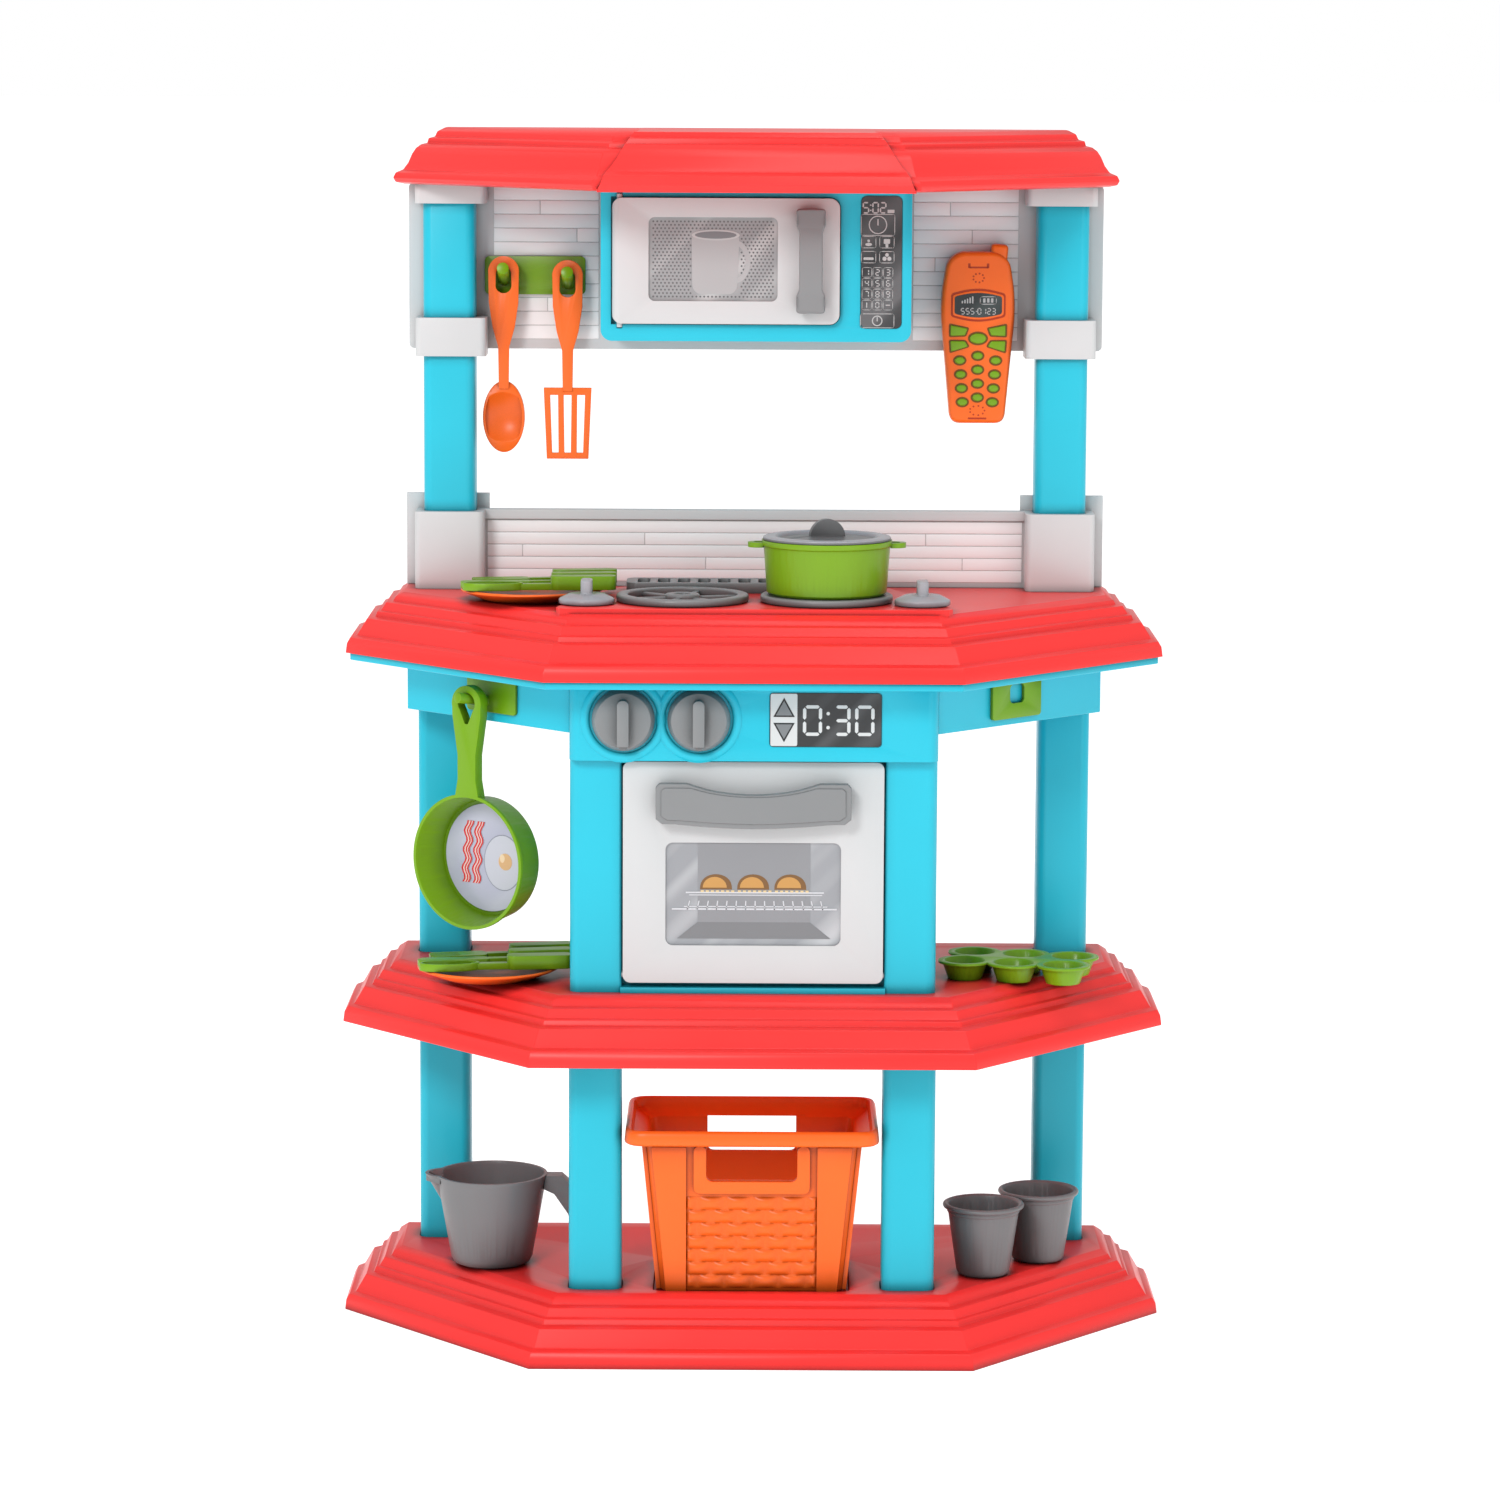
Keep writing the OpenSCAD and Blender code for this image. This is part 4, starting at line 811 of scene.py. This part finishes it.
def phoneShape(outlines, depth, front, soft=0, segments=2):
    bm = bmesh.new()
    for outline in outlines:
        part = slab(outline, depth, front)
        if soft:
            rim = [e for e in part.edges if all(v.co.y < (front + 0.01) * mm for v in e.verts)]
            roundEdges(part, rim, soft, segments)
        join(bm, part, phonePlace())
    return bm


def phoneKeys():
    keys = []
    corners = [list(c) for c in phoneSet["cornerKeys"]]
    for corner in corners + [[(-x, z) for x, z in reversed(c)] for c in corners]:
        keys.append(roundCorners(corner, phoneSet["cornerSoft"]))
    keys.append(ellipse(*phoneSet["middleKey"]))
    for row in range(phoneSet["keyRows"]):
        out = phoneSet["keyOut"] - row * phoneSet["keyDraw"]
        for x, rise in ((-out, 0), (0, phoneSet["keyRise"]), (out, 0)):
            z = phoneSet["keyTop"] - row * phoneSet["keyPitch"] + rise
            keys.append(ellipse(*phoneSet["key"], x, z, 20))
    return keys


screenSet = {"number": "5550123", "first": -12.6, "low": 21.6, "pitch": 3.9, "gapAfter": 3, "gap": 1.8,
             "figure": (2.5, 4.6, 0.75), "dash": (1.6, 0.7, 0.1, -1.2, 21.6),
             "battery": (13, 6, 1.6, 8, 30.4), "batteryLine": 0.6, "cell": (1.9, 3.4, 0.4), "cellX": 4.8,
             "cellPitch": 3.2, "high": 30.4, "barWide": 1.1, "barTall": 2, "barGrows": 0.9, "barX": -13,
             "barPitch": 2.1, "barZ": 29}


def screenMarks():  # a number below, bars of strength and a full battery above
    marks = []
    for k, figure in enumerate(screenSet["number"]):
        gap = screenSet["gap"] if k >= screenSet["gapAfter"] else 0
        x = screenSet["first"] + k * screenSet["pitch"] + gap
        marks += digit(figure, x, screenSet["low"], *screenSet["figure"])
    marks.append(oblong(*screenSet["dash"]))
    marks += frameOf(oblong(*screenSet["battery"]), screenSet["batteryLine"])
    for k in range(3):
        x = screenSet["cellX"] + k * screenSet["cellPitch"]
        marks.append(oblong(*screenSet["cell"], x, screenSet["high"]))
    for k in range(5):
        grows = k * screenSet["barGrows"]
        x, z = screenSet["barX"] + k * screenSet["barPitch"], screenSet["barZ"] + grows / 2
        marks.append(oblong(screenSet["barWide"], screenSet["barTall"] + grows, 0.2, x, z))
    return marks


def telephone():
    body, front = bodyOf["phone_body"], -phoneSet["face"]
    orange, screenZ = looks["orange_plastic"], phoneSet["screenZ"]
    bm = phoneShape([roundCorners(phoneSet["case"], phoneSet["caseCorner"], 6)], phoneSet["deep"], front)
    join(bm, softBox(*phoneSet["stub"]), phonePlace() @ shift(*phoneSet["stubPlace"]))
    finishPiece("phone_case", bm, body, "orange_plastic", orange,
                hides=("phone_body", "phone_keypad", "phone_screen"), bevel=phoneSet["soft"],
                segments=5, angle=50)

    def layer(name, outlines, depth, proud, look, slot="screen_grey", soft=0, segments=2, sharp=30):
        shape = phoneShape(outlines, depth, front - proud, soft, segments)
        finishPiece(name, shape, body, slot, look, sharp=sharp)

    keys = phoneKeys()
    layer("phone_key_rims", [grown(k, phoneSet["keyRim"]) for k in keys], 0.6, 0.25, prints["keyRim"])
    layer("phone_keys", keys, 2.6, 1.6, looks["green_plastic"], "green_plastic", 0.9, 3, 60)
    layer("phone_screen_rim", [barrel(*phoneSet["rim"], 0, screenZ)], 0.8, 0.3, prints["orangeShade"])
    layer("phone_screen_bead", [barrel(*phoneSet["bead"], 0, screenZ)], 1.4, 0.8, orange, "orange_plastic",
          0.4, 2, 60)
    layer("phone_screen_glass", [barrel(*phoneSet["glass"], 0, screenZ)], 0.6, 0.95,
          withPaintedGlints("phone_glass", *paintedGlintFaces["phone_screen"]))
    layer("phone_screen_marks", screenMarks(), 0.15, 1.05, prints["silver"])
    marks = []
    for across, up, middle in phoneSet["holes"]:
        marks += [ellipse(phoneSet["hole"], phoneSet["hole"], across * math.cos(math.tau * k / 9),
                          middle + up * math.sin(math.tau * k / 9), 8) for k in range(9)]
    marks += [oblong(*line) for line in phoneSet["lines"]]
    layer("phone_marks", marks, 0.3, 0.1, prints["orangeShade"])


# picture on the pan's floor: two rashers and a fried egg

panSet = {"turn": -35, "rashers": (-21.5, -11), "wide": 7.0, "shade": (7.4, 0.6),
          "fat": ((1.3, -1), (0.9, 1.6)),  # width and offset of each white strip
          "wave": 1.7, "bend": 1.15, "lean": 0.22, "low": -22, "step": 2.8, "steps": 19, "thick": 0.3,
          "egg": (37, 44, 14.5, -3), "eggEdge": 1.6, "yolk": (17, -2, 6.8), "glint": (5, 7, -3, 2.6)}


def rasher(x, wide, off=0):
    line = [(x + off + panSet["wave"] * math.sin(k * panSet["bend"]) + (k - 9) * panSet["lean"],
             panSet["low"] + k * panSet["step"]) for k in range(panSet["steps"])]
    return [[(ax - wide / 2, az), (ax + wide / 2, az), (bx + wide / 2, bz), (bx - wide / 2, bz)]
            for (ax, az), (bx, bz) in zip(line, line[1:])]


def panPicture():
    low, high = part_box("pan_picture")
    place = Matrix.Translation((low + high) / 2) @ Matrix.Rotation(math.radians(panSet["turn"]), 4, "Z")
    slot, body = slotOf["pan_picture"], bodyOf["pan_picture"]
    w, h, x, z = panSet["egg"]
    yolkX, yolkZ, radius = panSet["yolk"]
    glintW, glintH, glintX, glintZ = panSet["glint"]
    edge, rashers = panSet["eggEdge"], panSet["rashers"]
    layers = (
        ("pan_print_shadow", [q for at in rashers for q in rasher(at, *panSet["shade"])], "panShade", 0.5),
        ("pan_print_rashers", [q for at in rashers for q in rasher(at, panSet["wide"])], "bacon", 0.62),
        ("pan_print_fat", [q for at in rashers for fat in panSet["fat"] for q in rasher(at, *fat)],
         "baconFat", 0.74),
        ("pan_print_egg_edge", [ellipse(w + edge, h + edge, x, z, 32)], "panShade", 0.5),
        ("pan_print_egg", [ellipse(w, h, x, z, 32)], "egg", 0.6),
        ("pan_print_yolk", [ellipse(2 * radius, 2 * radius, yolkX, yolkZ)], "yolk", 0.8),
        ("pan_print_glint", [ellipse(glintW, glintH, yolkX + glintX, yolkZ + glintZ)], "yolkLight", 0.9),
    )
    for name, outlines, look, lift in layers:
        bm = bmesh.new()
        for outline in outlines:
            join(bm, slab(outline, panSet["thick"], -lift), place)
        finishPiece(name, bm, body, slot, prints[look], sharp=20)


# hob rings, the oven door's handle and the rim of the pot's lid

burnerSet = {"ring": (43.5, 52.5), "hub": (6, 14), "high": 6, "soft": 2.4,
             "spokes": 6, "spoke": (33, 5, 3.6, 1.4), "spokeOut": 28.5, "spokeLift": 0.2}


def burnerRing(name):
    low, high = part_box(name)
    bm = bmesh.new()
    h = burnerSet["high"]
    for inner, outer in (burnerSet["ring"], burnerSet["hub"]):
        ring = [(inner, h * 0.45), (inner, 0), (outer, 0), (outer, h), (inner, h), (inner, h * 0.45)]
        join(bm, turned(ring, burnerSet["soft"]))
    out = shift(burnerSet["spokeOut"], 0, burnerSet["spoke"][2] / 2 + burnerSet["spokeLift"])
    for k in range(burnerSet["spokes"]):
        turn = Matrix.Rotation(math.tau * (k + 0.25) / burnerSet["spokes"], 4, "Z")
        join(bm, softBox(*burnerSet["spoke"]), turn @ out)
    place = Matrix.Translation(((low.x + high.x) / 2, (low.y + high.y) / 2, low.z))
    bmesh.ops.transform(bm, matrix=place, verts=bm.verts)
    finishPiece(name + "_rounded", bm, bodyOf[name], slotOf[name], looks[slotOf[name]],
                hides=(name,), sharp=60)


ovenHandleSet = {"half": 76.5, "tall": 32, "z": 444, "grip": 50, "dip": 8.5, "sagHalf": 62, "sag": 3,
                 "thick": 8, "archHalf": 60, "rise": 3.2, "padSize": (0.945, 0.80), "padThick": 2,
                 "padProud": 0.7,
                 "foot": (17, 22, 2), "footGap": 8, "footIn": 3.4, "footX": 66}


def ovenHandle():
    low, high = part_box("oven_handle")
    handle, node = ovenHandleSet, "oven_handle"
    half, top, grip, wide = handle["half"], handle["tall"] / 2, handle["grip"], handle["sagHalf"]
    upper = [(x, top - handle["dip"] * (1 - (x / grip) ** 2) ** 0.8)
             for x in [grip - k * grip / 8 for k in range(1, 16)]]
    lower = [(x, -top - handle["sag"] * math.cos(math.pi / 2 * x / wide))
             for x in [-wide + k * wide / 8 for k in range(17)]]
    outline = [(-half, -top + 4), (-half + 5, -top), *lower, (half - 5, -top), (half, -top + 4),
               (half, top - 3), (half - 3, top), (grip + 2, top), *upper, (-grip - 2, top),
               (-half + 3, top), (-half, top - 3)]
    band = slab(outline, handle["thick"])
    across, up = handle["padSize"]
    join(band, slab([(x * across, z * up) for x, z in outline], handle["padThick"], -handle["padProud"]))
    arched(band, handle["archHalf"], handle["rise"], 0, 20)
    bm = bmesh.new()
    near, far = low.y / mm, high.y / mm
    join(bm, band, shift(0, near + handle["rise"], handle["z"]))
    footWide, footTall, soft = handle["foot"]
    for s in (-1, 1):
        foot = softBox(footWide, far - near - handle["footGap"], footTall, soft)
        join(bm, foot, shift(s * handle["footX"], (near + far) / 2 + handle["footIn"], handle["z"]))
    finishPiece("oven_handle_bar", bm, bodyOf[node], slotOf[node], looks[slotOf[node]], hides=(node,),
                bevel=2.0, segments=4, angle=55)


lidSet = {"rim": ((38.5, 0.2), (40, 2.2), (41.5, 3.0), (47.5, 3.0), (50.3, 2.2), (50.4, 1.2)),
          "soft": 1, "lift": 3}


def lidRim():
    low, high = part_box("pot_lid")
    ring = turned(lidSet["rim"], lidSet["soft"])
    place = Matrix.Translation(((low.x + high.x) / 2, (low.y + high.y) / 2, low.z + lidSet["lift"] * mm))
    bmesh.ops.transform(ring, matrix=place, verts=ring.verts)
    finishPiece("pot_lid_rim", ring, bodyOf["pot_lid"], "grey_plastic", looks["pale_grey"], sharp=60)


knobRings()
ovenPicture()
timerFace()
microwavePicture()
keypadFace()
print("printed faces done")
basketDress()
telephone()
panPicture()
microwaveScreen()
microwaveHandle()
ovenHandle()
lidRim()
for name in ("burner_left", "burner_right"):
    burnerRing(name)
print("basket, telephone, pan picture and microwave done")

# floor, lights and camera

floorSet = {"half": 300, "colour": (0.90, 0.90, 0.90), "roughness": 0.9, "specular": 0.1, "glow": 0.60}
lightSet = {
    "key": {"spot": (-1.5, -3.4, 2.5), "aim": (0, 0, 0.5), "size": 0.9, "watts": 64},
    "fill": {"spot": (2.4, -3.2, 1.0), "aim": (0, 0, 0.5), "size": 2.4, "watts": 14},
    "top": {"spot": (0.2, -0.7, 3.0), "aim": (0, 0, 0.5), "size": 1.0, "watts": 13},
}
worldSet = {"light": 0.64, "seen": 1.0}
cameraSet = {"spot": (-0.003, -3.9611, 1.029), "down": 8.0, "roll": 0.28, "lens": 119.82,
             "sensor": 36, "far": 100}


def buildFloor():
    bm = bmesh.new()
    bmesh.ops.create_grid(bm, x_segments=1, y_segments=1, size=floorSet["half"])
    mesh = bpy.data.meshes.new("floor")
    bm.to_mesh(mesh)
    bm.free()
    floor = bpy.data.objects.new("floor", mesh)
    bpy.context.scene.collection.objects.link(floor)
    look, _, shader = newLook("pale_floor", floorSet["colour"])
    shader.inputs["Base Color"].default_value = (*floorSet["colour"], 1)
    shader.inputs["Roughness"].default_value = floorSet["roughness"]
    shader.inputs["Specular IOR Level"].default_value = floorSet["specular"]
    shader.inputs["Emission Color"].default_value = (1, 1, 1, 1)
    shader.inputs["Emission Strength"].default_value = floorSet["glow"]
    mesh.materials.append(look)


def buildLights():
    for name, setup in lightSet.items():
        lamp = bpy.data.lights.new(name, "AREA")
        lamp.size = setup["size"]
        lamp.energy = setup["watts"]
        holder = bpy.data.objects.new(name, lamp)
        holder.location = setup["spot"]
        aim = Vector(setup["aim"]) - Vector(setup["spot"])
        holder.rotation_euler = aim.to_track_quat("-Z", "Y").to_euler()
        bpy.context.scene.collection.objects.link(holder)


def buildWorld():  # the backdrop is seen white and lights the object a little less
    world = bpy.data.worlds.new("studio")
    world.use_nodes = True
    tree = world.node_tree
    back = tree.nodes["Background"]
    back.inputs["Color"].default_value = (1, 1, 1, 1)
    path = nodeAt(tree, "ShaderNodeLightPath", -500, 0)
    span = nodeAt(tree, "ShaderNodeMapRange", -250, 0,
                  {"To Min": worldSet["light"], "To Max": worldSet["seen"]})
    tree.links.new(path.outputs["Is Camera Ray"], span.inputs["Value"])
    tree.links.new(span.outputs["Result"], back.inputs["Strength"])
    bpy.context.scene.world = world
    bpy.context.scene.view_settings.view_transform = "Standard"


def buildCamera():
    lens = bpy.data.cameras.new("camera")
    lens.lens = cameraSet["lens"]
    lens.sensor_width = cameraSet["sensor"]
    lens.clip_end = cameraSet["far"]
    camera = bpy.data.objects.new("camera", lens)
    turn = Matrix.Rotation(math.radians(90 - cameraSet["down"]), 4, "X")
    roll = Matrix.Rotation(math.radians(cameraSet["roll"]), 4, "Z")
    camera.matrix_world = Matrix.Translation(cameraSet["spot"]) @ turn @ roll
    bpy.context.scene.collection.objects.link(camera)
    bpy.context.scene.camera = camera


buildFloor()
buildLights()
buildWorld()
buildCamera()
print("floor, lights and camera placed")
